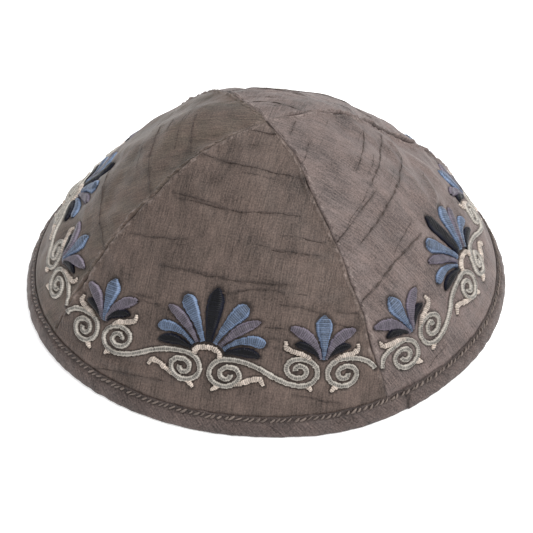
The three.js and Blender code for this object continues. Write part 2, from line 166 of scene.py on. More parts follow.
def read_form(rows: Rows | Array, place: Array) -> Array:
    """Reads a table on a smooth curve through its rows.

    Args:
        rows: A place and a value in each row, by rising places.
        place: Places to read at.

    Returns:
        The value at each place.
    """
    keys, values = np.array(rows, dtype=float).T
    last = len(keys) - 1
    row = np.clip(np.searchsorted(keys, place, side="right") - 1, 0, last - 1)
    share = np.clip((place - keys[row]) / (keys[row + 1] - keys[row]), 0.0, 1.0)
    start = values[row]
    end = values[row + 1]
    leave = (end - values[np.maximum(row - 1, 0)]) / 2
    arrive = (values[np.minimum(row + 2, last)] - start) / 2
    cubic = (2 * start - 2 * end + leave + arrive) * share**3
    square = (3 * end - 3 * start - 2 * leave - arrive) * share**2
    return cubic + square + leave * share + start


def smooth_path(rows: Array, steps: int) -> Array:
    """Draws a smooth curve through the rows of a path.

    Args:
        rows: One point of the path in each row.
        steps: Steps between one row and the next.

    Returns:
        The points of the finer path.
    """
    keys = np.arange(len(rows), dtype=float)
    place = np.linspace(0, len(rows) - 1, (len(rows) - 1) * steps + 1)
    tables = [np.stack([keys, column], axis=1) for column in rows.T]
    return np.stack([read_form(table, place) for table in tables], axis=1)


class Ripple:
    """A gentle unevenness over the plane, made of seeded waves."""

    def __init__(self, seed: int, shortest: float, longest: float, waves: int = 28) -> None:
        """Draws the waves.

        Args:
            seed: Seed of the waves.
            shortest: Shortest wave.
            longest: Longest wave.
            waves: How many waves are added up.
        """
        draw = np.random.default_rng(seed)
        turn = draw.uniform(0, 2 * math.pi, waves)
        pace = 2 * math.pi / draw.uniform(shortest, longest, waves)
        self._x = pace * np.cos(turn)
        self._y = pace * np.sin(turn)
        self._phase = draw.uniform(0, 2 * math.pi, waves)
        self._share = math.sqrt(2 / waves)

    def at(self, x: Array, y: Array) -> Array:
        """Height of the waves at places across and up, about 1 at its usual greatest."""
        waves = zip(self._x, self._y, self._phase)
        return self._share * sum(np.sin(across * x + up * y + phase) for across, up, phase in waves)


@dataclass(frozen=True)
class Dent:
    """A dent in a panel's cloth, or a puff where its depth is below 0.

    across is a share of half a panel, up of the wall's length, and wide and tall are shares of
    the panel's width and of the wall's length.
    """

    side: Side
    across: float
    up: float
    depth: float
    wide: float
    tall: float


@dataclass(frozen=True)
class Bulge:
    """A place where the rim is out of round.

    azimuth is its middle and turn half its width, in degrees, and share is how much of the
    crown's bulge it has.
    """

    azimuth: float
    share: float
    turn: float


@dataclass(frozen=True)
class Fold:
    """A soft fold from one azimuth, in degrees from the panel's middle, and lift to another.

    Its rise is below 0 where it is a valley.
    """

    side: Side
    start: tuple[float, float]
    end: tuple[float, float]
    rise: float
    width: float


@dataclass(frozen=True)
class SeamLine:
    """How far the seam after a panel strays towards the next panel, by lift."""

    side: Side
    rows: Rows

    def at(self, lift: Array) -> Array:
        """How far the seam strays at a lift."""
        return read_form(self.rows, lift)


@dataclass
class Crown:
    """The dome that the panels are sewn into, read at any azimuth and lift.

    The main shape is that of the solids. The folds, the last dents, the waves and the seams'
    pucker are the finer shape of the cloth.
    """

    radius: float = 88.7
    height: float = 72.0
    radius_power: float = 1.93
    height_power: float = 1.23
    flattening: float = 1.9
    peaking: float = 0.5
    dent_depth: float = 1.6
    bulge_rise: float = 1.5
    bulge_lift: float = 32.0
    bulges: tuple[Bulge, ...] = (Bulge(-47, 0.87, 24), Bulge(34, 1, 14))
    folds: tuple[Fold, ...] = (
        Fold(Side.RIGHT, (35.5, 67.5), (25, 62.5), 0.8, 1.3),
        Fold(Side.RIGHT, (29, 70), (18, 64), 0.5, 1.5),
        Fold(Side.RIGHT, (24.8, 52.4), (10.9, 48.6), 0.9, 1.6),
        Fold(Side.RIGHT, (29.6, 72.5), (6.6, 53.7), 0.6, 2.6),
        Fold(Side.RIGHT, (36, 58), (22, 38), 0.5, 2.4),
        Fold(Side.RIGHT, (-44, 61), (-37, 57), -0.5, 1.8),
        Fold(Side.FRONT, (44, 61), (37, 62.5), -0.45, 1.8),
        Fold(Side.FRONT, (26, 12), (36, 19), -0.5, 3),
        Fold(Side.FRONT, (-35, 11), (-10, 15), 0.45, 1.3),
        Fold(Side.FRONT, (-30, 14.5), (-14, 17.5), -0.35, 1.4),
        Fold(Side.FRONT, (8, 10.5), (24, 12.5), 0.4, 1.5),
        Fold(Side.FRONT, (-36, 74), (-24, 70), -0.5, 3.2),
        Fold(Side.FRONT, (-34, 64), (-20, 60), 0.35, 3),
        Fold(Side.LEFT, (34, 98), (10, 88), -0.6, 3),
        Fold(Side.LEFT, (38, 76), (24, 72), 0.5, 3),
        Fold(Side.LEFT, (6, 88), (-14, 80), 0.6, 3.5),
        Fold(Side.LEFT, (20, 60), (36, 50), -0.5, 2.6),
        Fold(Side.BACK, (-20, 70), (8, 60), 0.6, 2.8),
        Fold(Side.BACK, (30, 80), (18, 58), -0.5, 3),
    )
    slow_wave: float = 0.26
    quick_wave: float = 0.085
    wave_rise: float = 10.0
    seam_ridge: float = 0.4
    seam_ridge_place: float = 1.0
    seam_ridge_width: float = 0.75
    seam_groove: float = 0.26
    seam_groove_width: float = 0.38
    seam_deepens: tuple[float, float] = (22.0, 50.0)
    seam_full_radius: float = 18.0
    seam_pucker: float = 0.8
    seam_waver: float = 0.16
    waver_reach: float = 6.0
    waver_full_lift: float = 24.0
    waver_full_radius: float = 25.0
    seam_lines: tuple[SeamLine, ...] = (
        SeamLine(
            Side.FRONT,
            ((9, 0), (22, -0.2), (41, -0.9), (60, -0.7), (86, -0.9), (101, 0.4), (116, 0.2)),
        ),
        SeamLine(Side.LEFT, ((9, 0), (44, 0.1), (58, 0.1), (69, 0.9), (80, -0.4), (96, -0.2), (116, 0))),
    )
    binding_edge: float = 7.2
    puff_above_binding: float = 0.35
    puff_place: float = 1.8
    puff_width: float = 1.6
    tuck_depth: float = 0.14
    tuck_width: float = 0.6
    dents: tuple[Dent, ...] = (
        Dent(Side.FRONT, -0.58, 0.61, 0.7, 0.1, 0.1),
        Dent(Side.FRONT, 0.15, 0.4, -0.45, 0.3, 0.16),
        Dent(Side.RIGHT, 0.5, 0.55, 0.8, 0.08, 0.16),
        Dent(Side.RIGHT, -0.1, 0.68, -0.5, 0.16, 0.14),
        Dent(Side.RIGHT, 0.75, 0.6, 0.8, 0.2, 0.2),
        Dent(Side.LEFT, 0.72, 0.79, 1.0, 0.12, 0.12),
        Dent(Side.LEFT, 0.05, 0.66, -0.8, 0.14, 0.12),
        Dent(Side.LEFT, -0.5, 0.55, 0.8, 0.2, 0.2),
        Dent(Side.LEFT, -0.1, 0.31, 1.3, 0.2, 0.1),
        Dent(Side.LEFT, -0.25, 0.74, -1.1, 0.3, 0.12),
        Dent(Side.RIGHT, 0.9, 0.47, 1.3, 0.14, 0.11),
        Dent(Side.BACK, 0.3, 0.6, 0.6, 0.14, 0.14),
        Dent(Side.BACK, -0.95, 0.47, 0.8, 0.1, 0.11),
        Dent(Side.BACK, -0.88, 0.57, 0.8, 0.12, 0.08),
        Dent(Side.RIGHT, 1.12, 0.57, 0.8, 0.12, 0.08),
        Dent(Side.BACK, 0.35, 0.7, -0.6, 0.16, 0.08),
    )
    line_steps: int = 1600
    lifting_rounds: int = 40
    least_slope: float = 0.05

    def __post_init__(self) -> None:
        """Works out the wall's line once."""
        turn = np.linspace(0.0, QUARTER, self.line_steps + 1)
        self._radius = self.radius * np.maximum(np.cos(turn), 0.0) ** (2 / self.radius_power)
        self._radius[-1] = 0.0
        self._height = self.height * np.sin(turn) ** (2 / self.height_power)
        steps = np.hypot(np.diff(self._radius), np.diff(self._height))
        self._lift = np.concatenate([[0.0], np.cumsum(steps)])
        inward = np.gradient(self._radius, self._lift)
        upward = np.gradient(self._height, self._lift)
        size = np.hypot(inward, upward)
        self._out = upward / size
        self._up = -inward / size
        self.length = float(self._lift[-1])
        self._slow = [Ripple(Seed.SLOW_WAVE + side.value, 11.0, 30.0) for side in Side]
        self._quick = [Ripple(Seed.QUICK_WAVE + side.value, 3.2, 8.0) for side in Side]
        self._waver = [Ripple(Seed.SEAM_WAVER + side.value, 14.0, 40.0, 8) for side in Side]
        self._pucker = Ripple(Seed.SEAM_PUCKER, 2.4, 6.5, 16)

    def radius_at(self, lift: Array) -> Array:
        """Radius of the wall's line at a lift."""
        return np.interp(lift, self._lift, self._radius)

    def lift_at(self, radius: float) -> float:
        """The lift at which the wall's line has this radius."""
        return float(np.interp(radius, self._radius[::-1], self._lift[::-1]))

    def seam_depth(self, lift: Array, least: float) -> Array:
        """How deep a seam lies, from its least share near the binding to 1 higher up."""
        return least + (1 - least) * smooth_step(lift, *self.seam_deepens)

    def relief(self, side: Side, azimuth: Array, lift: Array) -> Array:
        """How far the cloth lies outside the wall's line.

        Args:
            side: The panel.
            azimuth: Azimuths from the panel's middle.
            lift: Lifts.

        Returns:
            The relief, of the panel's main shape, its dents and the small waves of its cloth.
        """
        across = azimuth / HALF_PANEL
        up = np.clip(lift / self.length, 0.0, 1.0)
        total = self.flattening * np.sin(math.pi * up) * (across**2 - 1 + self.peaking)
        for dent in self.dents:
            if dent.side is side:
                sideways = (across - dent.across) / (2 * dent.wide)
                upwards = (up - dent.up) / dent.tall
                total = total - self.dent_depth * dent.depth * np.exp(-(sideways**2 + upwards**2))
        radius = self.radius_at(lift)
        around = np.degrees(azimuth) + 90 * side.value
        for bulge in self.bulges:
            away = np.mod(around - bulge.azimuth + 180, 360) - 180
            faded = (away / bulge.turn) ** 2 + (lift / self.bulge_lift) ** 2
            total = total + self.bulge_rise * bulge.share * np.exp(-faded)
        for fold in self.folds:
            if fold.side is side:
                total = total + self._fold(fold, azimuth, lift, radius)
        arc = azimuth * radius
        free = smooth_step(lift, self.binding_edge, self.binding_edge + self.wave_rise)
        total = total + free * self.slow_wave * self._slow[side.value].at(arc, lift)
        return total + free * self.quick_wave * self._quick[side.value].at(0.5 * arc, lift)

    @staticmethod
    def _fold(fold: Fold, azimuth: Array, lift: Array, radius: Array) -> Array:
        """Rise of the cloth over one fold.

        Args:
            fold: The fold.
            azimuth: Azimuths from the panel's middle.
            lift: Lifts.
            radius: Radius of the wall at each lift.

        Returns:
            The rise, which fades out at the fold's ends.
        """
        aside = (azimuth - math.radians(fold.start[0])) * radius
        span_aside = math.radians(fold.end[0] - fold.start[0]) * radius
        span_up = fold.end[1] - fold.start[1]
        square = span_aside**2 + span_up**2
        share = (aside * span_aside + (lift - fold.start[1]) * span_up) / square
        share = np.clip(share, 0.0, 1.0)
        gap = np.hypot(aside - share * span_aside, lift - fold.start[1] - share * span_up)
        return fold.rise * bell(gap, fold.width) * (0.35 + 0.65 * np.sin(math.pi * share))

    def sewing(self, azimuth: Array, lift: Array) -> Array:
        """What the seams and the binding's edge do to the cloth beside them.

        Args:
            azimuth: Azimuths from the panel's middle.
            lift: Lifts.

        Returns:
            The rise of the cloth: a puckered ridge beside each seam and a groove in it, and a
            puff over the edge that is tucked under the binding.
        """
        radius = self.radius_at(lift)
        beside = (HALF_PANEL - np.abs(azimuth)) * radius
        near_tip = np.clip(radius / self.seam_full_radius, 0.0, 1.0)
        pucker = self.seam_pucker * self._pucker.at(SEAM_RADIUS * azimuth, lift)
        pucker = np.clip(1 + pucker, 0.1, 2.0)
        ridge = bell(beside - self.seam_ridge_place, self.seam_ridge_width)
        groove = bell(beside, self.seam_groove_width)
        total = near_tip * self.seam_ridge * pucker * ridge
        total = total - near_tip * self.seam_groove * self.seam_depth(lift, 0.4) * groove
        above = lift - self.binding_edge
        puff = self.puff_above_binding * bell(above - self.puff_place, self.puff_width)
        return total + puff - self.tuck_depth * bell(above, self.tuck_width)

    def point(self, side: Side, azimuth: Array, lift: Array, offset: Array) -> Array:
        """Points on the cap.

        Args:
            side: The panel.
            azimuth: Azimuths from the panel's middle.
            lift: Lifts.
            offset: Distances outside the panel's main shape.

        Returns:
            The points, with x, y and z along the last axis.
        """
        stand = self.relief(side, azimuth, lift) + offset
        radius = self.radius_at(lift) + stand * np.interp(lift, self._lift, self._out)
        height = np.interp(lift, self._lift, self._height)
        height = height + stand * np.interp(lift, self._lift, self._up)
        turn = azimuth + side.value * QUARTER + self._wavered(side, azimuth, lift)
        return np.stack([radius * np.sin(turn), -radius * np.cos(turn), height], axis=-1)

    def _wavered(self, side: Side, azimuth: Array, lift: Array) -> Array:
        """Small turns that let the seams stray, the same on both sides of each.

        Args:
            side: The panel.
            azimuth: Azimuths from the panel's middle.
            lift: Lifts.

        Returns:
            The turns, of the measured seam lines and a little waver, in radians.
        """
        radius = self.radius_at(lift)
        beside = (HALF_PANEL - np.abs(azimuth)) * radius
        strays = []
        for panel in (side, Side((side.value - 1) % len(Side))):
            stray = self.seam_waver * self._waver[panel.value].at(0, lift)
            for line in self.seam_lines:
                if line.side is panel:
                    stray = stray + line.at(lift)
            strays.append(stray)
        size = smooth_step(lift, self.binding_edge, self.waver_full_lift)
        size = size * np.clip(radius / self.waver_full_radius, 0, 1)
        stray = np.where(azimuth > 0, strays[0], strays[1])
        return size * stray * bell(beside, self.waver_reach) / np.maximum(radius, 2.0)

    def flat(self, azimuth: Array, lift: Array) -> Array:
        """Where points of a panel lie in the flat cloth.

        Args:
            azimuth: Azimuths from the panel's middle.
            lift: Lifts.

        Returns:
            The places across the panel and up it, along the last axis.
        """
        slope, reach = self._cone(lift)
        turn = azimuth * slope
        return np.stack([reach * np.sin(turn), lift + reach * (1 - np.cos(turn))], axis=-1)

    def lifted(self, across: Array, up: Array) -> tuple[Array, Array]:
        """Finds points of the flat cloth on the cap, the other way round from flat.

        Args:
            across: Places across the flat panel.
            up: Places up the flat panel.

        Returns:
            The azimuths and the lifts.
        """
        lift = np.array(up, dtype=float)
        turn = np.zeros_like(lift)
        slope = np.ones_like(lift)
        for _ in range(self.lifting_rounds):
            slope, reach = self._cone(np.clip(lift, 0.0, self.length))
            turn = np.arcsin(np.clip(across / np.maximum(reach, 0.5), -1.0, 1.0))
            lift = 0.5 * lift + 0.5 * (up - reach * (1 - np.cos(turn)))
        return turn / slope, lift

    def _cone(self, lift: Array) -> tuple[Array, Array]:
        """Slope and slant length of the cone that fits the wall at a lift."""
        slope = np.maximum(np.interp(lift, self._lift, self._up), self.least_slope)
        return slope, self.radius_at(lift) / slope


class Shape:
    """Points, faces and cloth places, gathered in millimetres for one mesh."""

    def __init__(self) -> None:
        """Starts empty."""
        self._points: list[Array] = []
        self._shades: list[Array] = []
        self._faces: list[Array] = []
        self._places: list[Array] = []
        self._finishes: list[Array] = []
        self.count = 0

    def points(self, points: Array, shade: Array | None = None) -> int:
        """Adds points.

        Args:
            points: The points, with x, y and z along the last axis.
            shade: How much painted shade each point has from stitches, slubs and seams, from 0 to 1,
            or how much painted highlight it has, from 0 to -1.

        Returns:
            The index of the first of them.
        """
        rows = points.reshape(-1, 3)
        first = self.count
        self._points.append(rows)
        self._shades.append(np.zeros(len(rows)) if shade is None else shade.reshape(-1))
        self.count += len(rows)
        return first

    def faces(self, faces: Array, places: Array, finish: int = 0) -> None:
        """Adds faces of one count of corners.

        Args:
            faces: Point indices, one face to a row.
            places: Two cloth places for each corner.
            finish: The finish's number in the mesh.
        """
        self._faces.append(faces)
        self._places.append(places.reshape(len(faces), faces.shape[1], 2))
        self._finishes.append(np.full(len(faces), finish))

    def tube(self, sections: Array, places: Array, finish: int = 0) -> None:
        """Adds a closed body through rings of points, with its two ends capped.

        Args:
            sections: Rings of points, ring by ring, that wind to the left along the path.
            places: Cloth places of the points, ring by ring.
            finish: The finish's number in the mesh.
        """
        rings, around = sections.shape[:2]
        first = self.points(sections)
        index = first + np.arange(rings * around).reshape(rings, around)
        turned = np.roll(index, -1, axis=1)
        quads = np.stack([index[:-1], turned[:-1], turned[1:], index[1:]], axis=-1)
        flat = places.reshape(-1, 2)
        quads = quads.reshape(-1, 4)
        self.faces(quads, flat[quads - first], finish)
        for cap in (index[:1, ::-1], index[-1:]):
            self.faces(cap, flat[cap - first], finish)

    def build(self, name: str, finishes: list[Material]) -> bpy.types.Object:
        """Makes the mesh in metres.

        Args:
            name: Name of the piece.
            finishes: The materials, in the order of the finishes' numbers.

        Returns:
            The object.
        """
        points = np.concatenate(self._points) * MILLIMETRE
        corners = np.concatenate([faces.reshape(-1) for faces in self._faces])
        sizes = np.concatenate([np.full(len(faces), faces.shape[1]) for faces in self._faces])
        mesh = bpy.data.meshes.new(name)
        mesh.vertices.add(len(points))
        mesh.vertices.foreach_set("co", points.astype(np.float32).reshape(-1))
        mesh.loops.add(len(corners))
        mesh.loops.foreach_set("vertex_index", corners.astype(np.int32))
        mesh.polygons.add(len(sizes))
        starts = np.concatenate([[0], np.cumsum(sizes)[:-1]])
        mesh.polygons.foreach_set("loop_start", starts.astype(np.int32))
        mesh.polygons.foreach_set("material_index", np.concatenate(self._finishes).astype(np.int32))
        mesh.update(calc_edges=True)
        places = mesh.uv_layers.new(name="cloth")
        flat = np.concatenate([spots.reshape(-1, 2) for spots in self._places])
        places.uv.foreach_set("vector", flat.astype(np.float32).reshape(-1))
        shades = mesh.attributes.new("stitch_shade", "FLOAT", "POINT")
        shades.data.foreach_set("value", np.concatenate(self._shades).astype(np.float32))
        for finish in finishes:
            mesh.materials.append(finish)
        mesh.shade_smooth()
        piece = bpy.data.objects.new(name, mesh)
        bpy.context.scene.collection.objects.link(piece)
        log.info("%s: %d points, %d faces", name, len(points), len(sizes))
        return piece


class Nodes:
    """Places and joins the nodes of one tree."""

    def __init__(self, tree: bpy.types.NodeTree) -> None:
        """Takes the tree to work in."""
        self.tree = tree

    def put(self, kind: str, values: dict, **settings: object) -> bpy.types.bpy_prop_collection:
        """Adds a node.

        Args:
            kind: Blender's name of the kind of node.
            values: What its inputs are fed with, by their names or numbers.
            **settings: Properties of the node.

        Returns:
            The node's outputs.
        """
        node = self.tree.nodes.new(kind)
        for key, value in settings.items():
            setattr(node, key, value)
        for key, value in values.items():
            self.feed(node.inputs[key], value)
        return node.outputs

    def feed(self, socket: Socket, value: object) -> None:
        """Joins another node's output to a socket, or sets the socket's own value.

        Args:
            socket: The input.
            value: The output to join, or a value, which may be a colour of three numbers.
        """
        if isinstance(value, Socket):
            self.tree.links.new(value, socket)
        else:
            socket.default_value = (*value, 1.0) if socket.type == "RGBA" else value

    def math(self, operation: str, *values: object) -> Socket:
        """Adds a Math node that is fed with values in order, and gives its output."""
        return self.put("ShaderNodeMath", dict(enumerate(values)), operation=operation)[0]

    def off_middle(self, value: object, weight: float) -> Socket:
        """How far a value of 0 to 1 lies from its middle, times a weight."""
        return self.math("MULTIPLY", self.math("SUBTRACT", value, 0.5), weight)

    def range(self, *values: object) -> Socket:
        """Maps a value from the first two limits after it to the last two, and clamps it."""
        return self.put("ShaderNodeMapRange", dict(enumerate(values)), clamp=True)[0]

    def noise(self, place: object, across: float, up: float, detail: float = 2.0) -> Socket:
        """Adds a noise over the cloth.

        Args:
            place: The place in the cloth.
            across: How fine the noise is across the cloth, in waves to a millimetre.
            up: How fine it is up the cloth.
            detail: Detail of the noise.

        Returns:
            The noise, about 0.5 in its middle.
        """
        factors = {0: place, 1: (across, up, 1.0)}
        scaled = self.put("ShaderNodeVectorMath", factors, operation="MULTIPLY")[0]
        values = {"Vector": scaled, "Scale": 1.0, "Detail": detail}
        return self.put("ShaderNodeTexNoise", values, noise_dimensions="2D")["Fac"]

    def tinted(self, low: object, high: object, share: object) -> Socket:
        """Mixes two colours by a share."""
        return self.put("ShaderNodeMix", {0: share, 6: low, 7: high}, data_type="RGBA")[2]

    def scaled(self, colour: object, tone: object) -> Socket:
        """Brightens or darkens a colour by a tone that is 1 where it leaves it alone."""
        return self.put("ShaderNodeVectorMath", {0: colour, "Scale": tone}, operation="SCALE")[0]

    def bump(self, height: Socket, strength: float, depth: float) -> Socket:
        """Bends the normal by a height, of which 1 is a depth in millimetres."""
        values = {"Strength": strength, "Distance": depth * MILLIMETRE, "Height": height}
        return self.put("ShaderNodeBump", values)[0]


def node_group(name: str, inputs: dict[str, float | None], outputs: list[str]) -> Nodes:
    """Starts a shader node group with named sockets.

    Args:
        name: Name of the group.
        inputs: Names of the inputs, with a number's usual value or None for a place.
        outputs: Names of the outputs, which are numbers.

    Returns:
        The nodes of the new group.
    """
    tree = bpy.data.node_groups.new(name, "ShaderNodeTree")
    for key, value in inputs.items():
        kind = "NodeSocketVector" if value is None else "NodeSocketFloat"
        socket = tree.interface.new_socket(name=key, in_out="INPUT", socket_type=kind)
        if value is not None:
            socket.default_value = value
    for key in outputs:
        tree.interface.new_socket(name=key, in_out="OUTPUT", socket_type="NodeSocketFloat")
    return Nodes(tree)


class RawSilkWeave:
    """The shader group of raw silk: fine warp streaks, uneven weft and soft blotches.

    NOISES gives how fine each noise is across and up the cloth, and its detail.
    """

    NAME = "raw silk weave"
    NOISES = {
        "fine warp": (1.9, 0.15, 2.0),
        "broad warp": (0.5, 0.05, 2.0),
        "weft": (0.3, 1.4, 2.0),
        "grain": (1.8, 1.5, 2.0),
        "cloud": (0.08, 0.07, 4.0),
        "hue": (0.16, 0.1, 5.0),
    }
    BROAD_WARP_WEIGHT = 0.25
    GRAIN_HEIGHT = 0.7

    @classmethod
    def group(cls) -> bpy.types.NodeTree:
        """Gives the group, and makes it the first time.

        Returns:
            The group, which puts out a tone round 1, a warmth of 0 to 1 and a height.
        """
        found = bpy.data.node_groups.get(cls.NAME)
        if found:
            return found
        sizes = {"Place": None, "Streaks": 0.7, "Weft": 0.25, "Grain": 0.5, "Blotches": 0.5}
        nodes = node_group(cls.NAME, sizes, ["Tone", "Warmth", "Height"])
        given = nodes.put("NodeGroupInput", {})
        noise = {name: nodes.noise(given["Place"], *size) for name, size in cls.NOISES.items()}
        fine = nodes.off_middle(noise["fine warp"], 1.0)
        broad = nodes.off_middle(noise["broad warp"], cls.BROAD_WARP_WEIGHT)
        tone = nodes.math("MULTIPLY_ADD", nodes.math("ADD", fine, broad), given["Streaks"], 1.0)
        for name, weight in (("weft", "Weft"), ("grain", "Grain"), ("cloud", "Blotches")):
            part = nodes.math("SUBTRACT", noise[name], 0.5)
            tone = nodes.math("MULTIPLY_ADD", part, given[weight], tone)
        height = nodes.math("ADD", noise["weft"], noise["fine warp"])
        height = nodes.math("MULTIPLY_ADD", noise["grain"], cls.GRAIN_HEIGHT, height)
        warmth = nodes.range(noise["hue"], 0.36, 0.64, 0.0, 1.0)
        nodes.put("NodeGroupOutput", {"Tone": tone, "Warmth": warmth, "Height": height})
        return nodes.tree


class SatinThread:
    """The shader group of stitched thread: a tone of its own for each stitch, and fibres.

    A place's first number counts the stitches, and its second runs from -1 to 1 along each.
    NOISES gives how fine each noise is across and along the stitches, and its weight. Painted
    shade darkens the gaps between the stitches, and a painted highlight lightens their ends and
    darkens their middles a little.
    """

    NAME = "satin thread"
    NOISES = {"fibre": (6.0, 0.9, 0.3), "grain": (1.1, 4.5, 0.9), "drift": (0.12, 0.4, 0.5)}
    OWN_TONE = 0.5
    # Painted shade in the gaps between the stitches.
    GAP_START = 0.3
    GAP_DARKNESS = 0.9
    # Painted highlight on the stitches' ends, and a little painted shade on their middles.
    EDGE_WIDTH = 0.28
    MIDDLE_LIGHT = -0.25

    @classmethod
    def group(cls) -> bpy.types.NodeTree:
        """Gives the group, and makes it the first time.

        Returns:
            The group, which puts out a tone round 1 and a height.
        """
        found = bpy.data.node_groups.get(cls.NAME)
        if found:
            return found
        sizes = {"Place": None, "Stitch Contrast": 0.3, "Edge Light": 0.3, "Edge Start": 0.6}
        nodes = node_group(cls.NAME, sizes, ["Tone", "Height"])
        given = nodes.put("NodeGroupInput", {})
        apart = nodes.put("ShaderNodeSeparateXYZ", {0: given["Place"]})
        stitch = {"W": nodes.math("FLOOR", apart["X"])}
        chance = nodes.put("ShaderNodeTexWhiteNoise", stitch, noise_dimensions="1D")["Value"]
        own = nodes.off_middle(chance, cls.OWN_TONE)
        phase = nodes.math("FRACT", apart["X"])
        from_middle = nodes.math("ABSOLUTE", nodes.math("SUBTRACT", phase, 0.5))
        between = nodes.range(from_middle, cls.GAP_START, 0.5, 0.0, 1.0)
        out_far = nodes.math("ABSOLUTE", apart["Y"])
        full = nodes.math("ADD", given["Edge Start"], cls.EDGE_WIDTH)
        edge = nodes.range(out_far, given["Edge Start"], full, cls.MIDDLE_LIGHT, 1.0)
        tone = nodes.math("MULTIPLY_ADD", own, given["Stitch Contrast"], 1.0)
        dark = nodes.math("MULTIPLY", between, given["Stitch Contrast"])
        tone = nodes.math("SUBTRACT", tone, nodes.math("MULTIPLY", dark, cls.GAP_DARKNESS))
        tone = nodes.math("MULTIPLY_ADD", edge, given["Edge Light"], tone)
        noise = {}
        for name, (across, along, weight) in cls.NOISES.items():
            noise[name] = nodes.noise(given["Place"], across, along)
            tone = nodes.math("ADD", tone, nodes.off_middle(noise[name], weight))
        height = nodes.math("SUBTRACT", noise["fibre"], between)
        nodes.put("NodeGroupOutput", {"Tone": tone, "Height": height})
        return nodes.tree


def new_material(
    name: str, roughness: float, specular: float
) -> tuple[Material, bpy.types.Node, Nodes]:
    """Starts a material whose shader gets its plain numbers here.

    Args:
        name: Name of the material.
        roughness: Roughness of the surface.
        specular: Specular level.

    Returns:
        The material, its shader and its nodes.
    """
    material = bpy.data.materials.new(name)
    material.use_nodes = True
    shader = material.node_tree.nodes["Principled BSDF"]
    shader.inputs["Roughness"].default_value = roughness
    shader.inputs["Specular IOR Level"].default_value = specular
    return material, shader, Nodes(material.node_tree)


@dataclass(frozen=True)
class SilkFinish:
    """Raw silk of one tint, as it is cut for a panel or a strip.

    streaks, weft, grain and blotches are the strengths of the weave's parts. turn is the angle
    at which the cloth is cut. Painted shade from stitches, slubs, seams and the binding's
    stitching and creases takes the shade tint, and painted highlights on the ridges beside the
    seams take the highlight tint.
    """

    name: str
    tint: Colour
    cool_tint: Colour
    streaks: float = 1.15
    weft: float = 0.3
    grain: float = 1.4
    blotches: float = 1.15
    turn: float = 0.0
    roughness: float = 0.6
    specular: float = 0.25
    sheen: float = 0.07
    sheen_roughness: float = 0.45
    bump: float = 0.6
    bump_depth: float = 0.16
    stitch_shade: float = 0.7
    hollow_tint: Colour = screen(30, 24, 22)
    worn_share: float = 0.6
    worn_tint: Colour = screen(160, 146, 139)

    def material(self) -> Material:
        """Makes the material.

        Returns:
            The material, which reads the mesh's cloth places and its stitch shade.
        """
        material, shader, nodes = new_material(self.name, self.roughness, self.specular)
        shader.inputs["Sheen Weight"].default_value = self.sheen
        shader.inputs["Sheen Roughness"].default_value = self.sheen_roughness
        place = nodes.put("ShaderNodeUVMap", {}, uv_map="cloth")[0]
        if self.turn:
            values = {"Vector": place, "Angle": self.turn}
            place = nodes.put("ShaderNodeVectorRotate", values, rotation_type="Z_AXIS")[0]
        values = {"Place": place, "Streaks": self.streaks, "Weft": self.weft}
        values |= {"Grain": self.grain, "Blotches": self.blotches}
        weave = nodes.put("ShaderNodeGroup", values, node_tree=RawSilkWeave.group())
        shade = nodes.put("ShaderNodeAttribute", {}, attribute_name="stitch_shade")["Fac"]
        # Painted shade where the stitch shade is above 0.
        painted_shade = nodes.range(shade, 0.0, 1.0, 0.0, self.stitch_shade)
        # Painted highlight where the stitch shade is below 0.
        painted_light = nodes.range(shade, -1.0, 0.0, self.worn_share, 0.0)
        colour = nodes.tinted(self.cool_tint, self.tint, weave["Warmth"])
        colour = nodes.tinted(colour, self.worn_tint, painted_light)
        colour = nodes.scaled(colour, weave["Tone"])
        nodes.feed(shader.inputs["Base Color"], nodes.tinted(colour, self.hollow_tint, painted_shade))
        normal = nodes.bump(weave["Height"], self.bump, self.bump_depth)
        nodes.feed(shader.inputs["Normal"], normal)
        return material


@dataclass(frozen=True)
class ThreadFinish:
    """Shiny stitched thread of one tint.

    A painted highlight makes the stitches' ends lighter by edge_light, from edge_start of the way out.
    """

    name: str
    tint: Colour
    edge_light: float = 0.25
    edge_start: float = 0.6
    contrast: float = 0.6
    roughness: float = 0.42
    specular: float = 0.3
    sheen: float = 0.03
    bump: float = 0.5
    bump_depth: float = 0.08

    def material(self) -> Material:
        """Makes the material.

        Returns:
            The material, which reads the mesh's places as stitches.
        """
        material, shader, nodes = new_material(self.name, self.roughness, self.specular)
        shader.inputs["Sheen Weight"].default_value = self.sheen
        place = nodes.put("ShaderNodeUVMap", {}, uv_map="cloth")[0]
        values = {"Place": place, "Stitch Contrast": self.contrast}
        values |= {"Edge Light": self.edge_light, "Edge Start": self.edge_start}
        thread = nodes.put("ShaderNodeGroup", values, node_tree=SatinThread.group())
        nodes.feed(shader.inputs["Base Color"], nodes.scaled(self.tint, thread["Tone"]))
        normal = nodes.bump(thread["Height"], self.bump, self.bump_depth)
        nodes.feed(shader.inputs["Normal"], normal)
        return material


@dataclass(frozen=True)
class Slub:
    """A thick place in the weft, along a line of places across and up the flat panel."""

    line: Rows
    thickness: float = FULL_SLUB


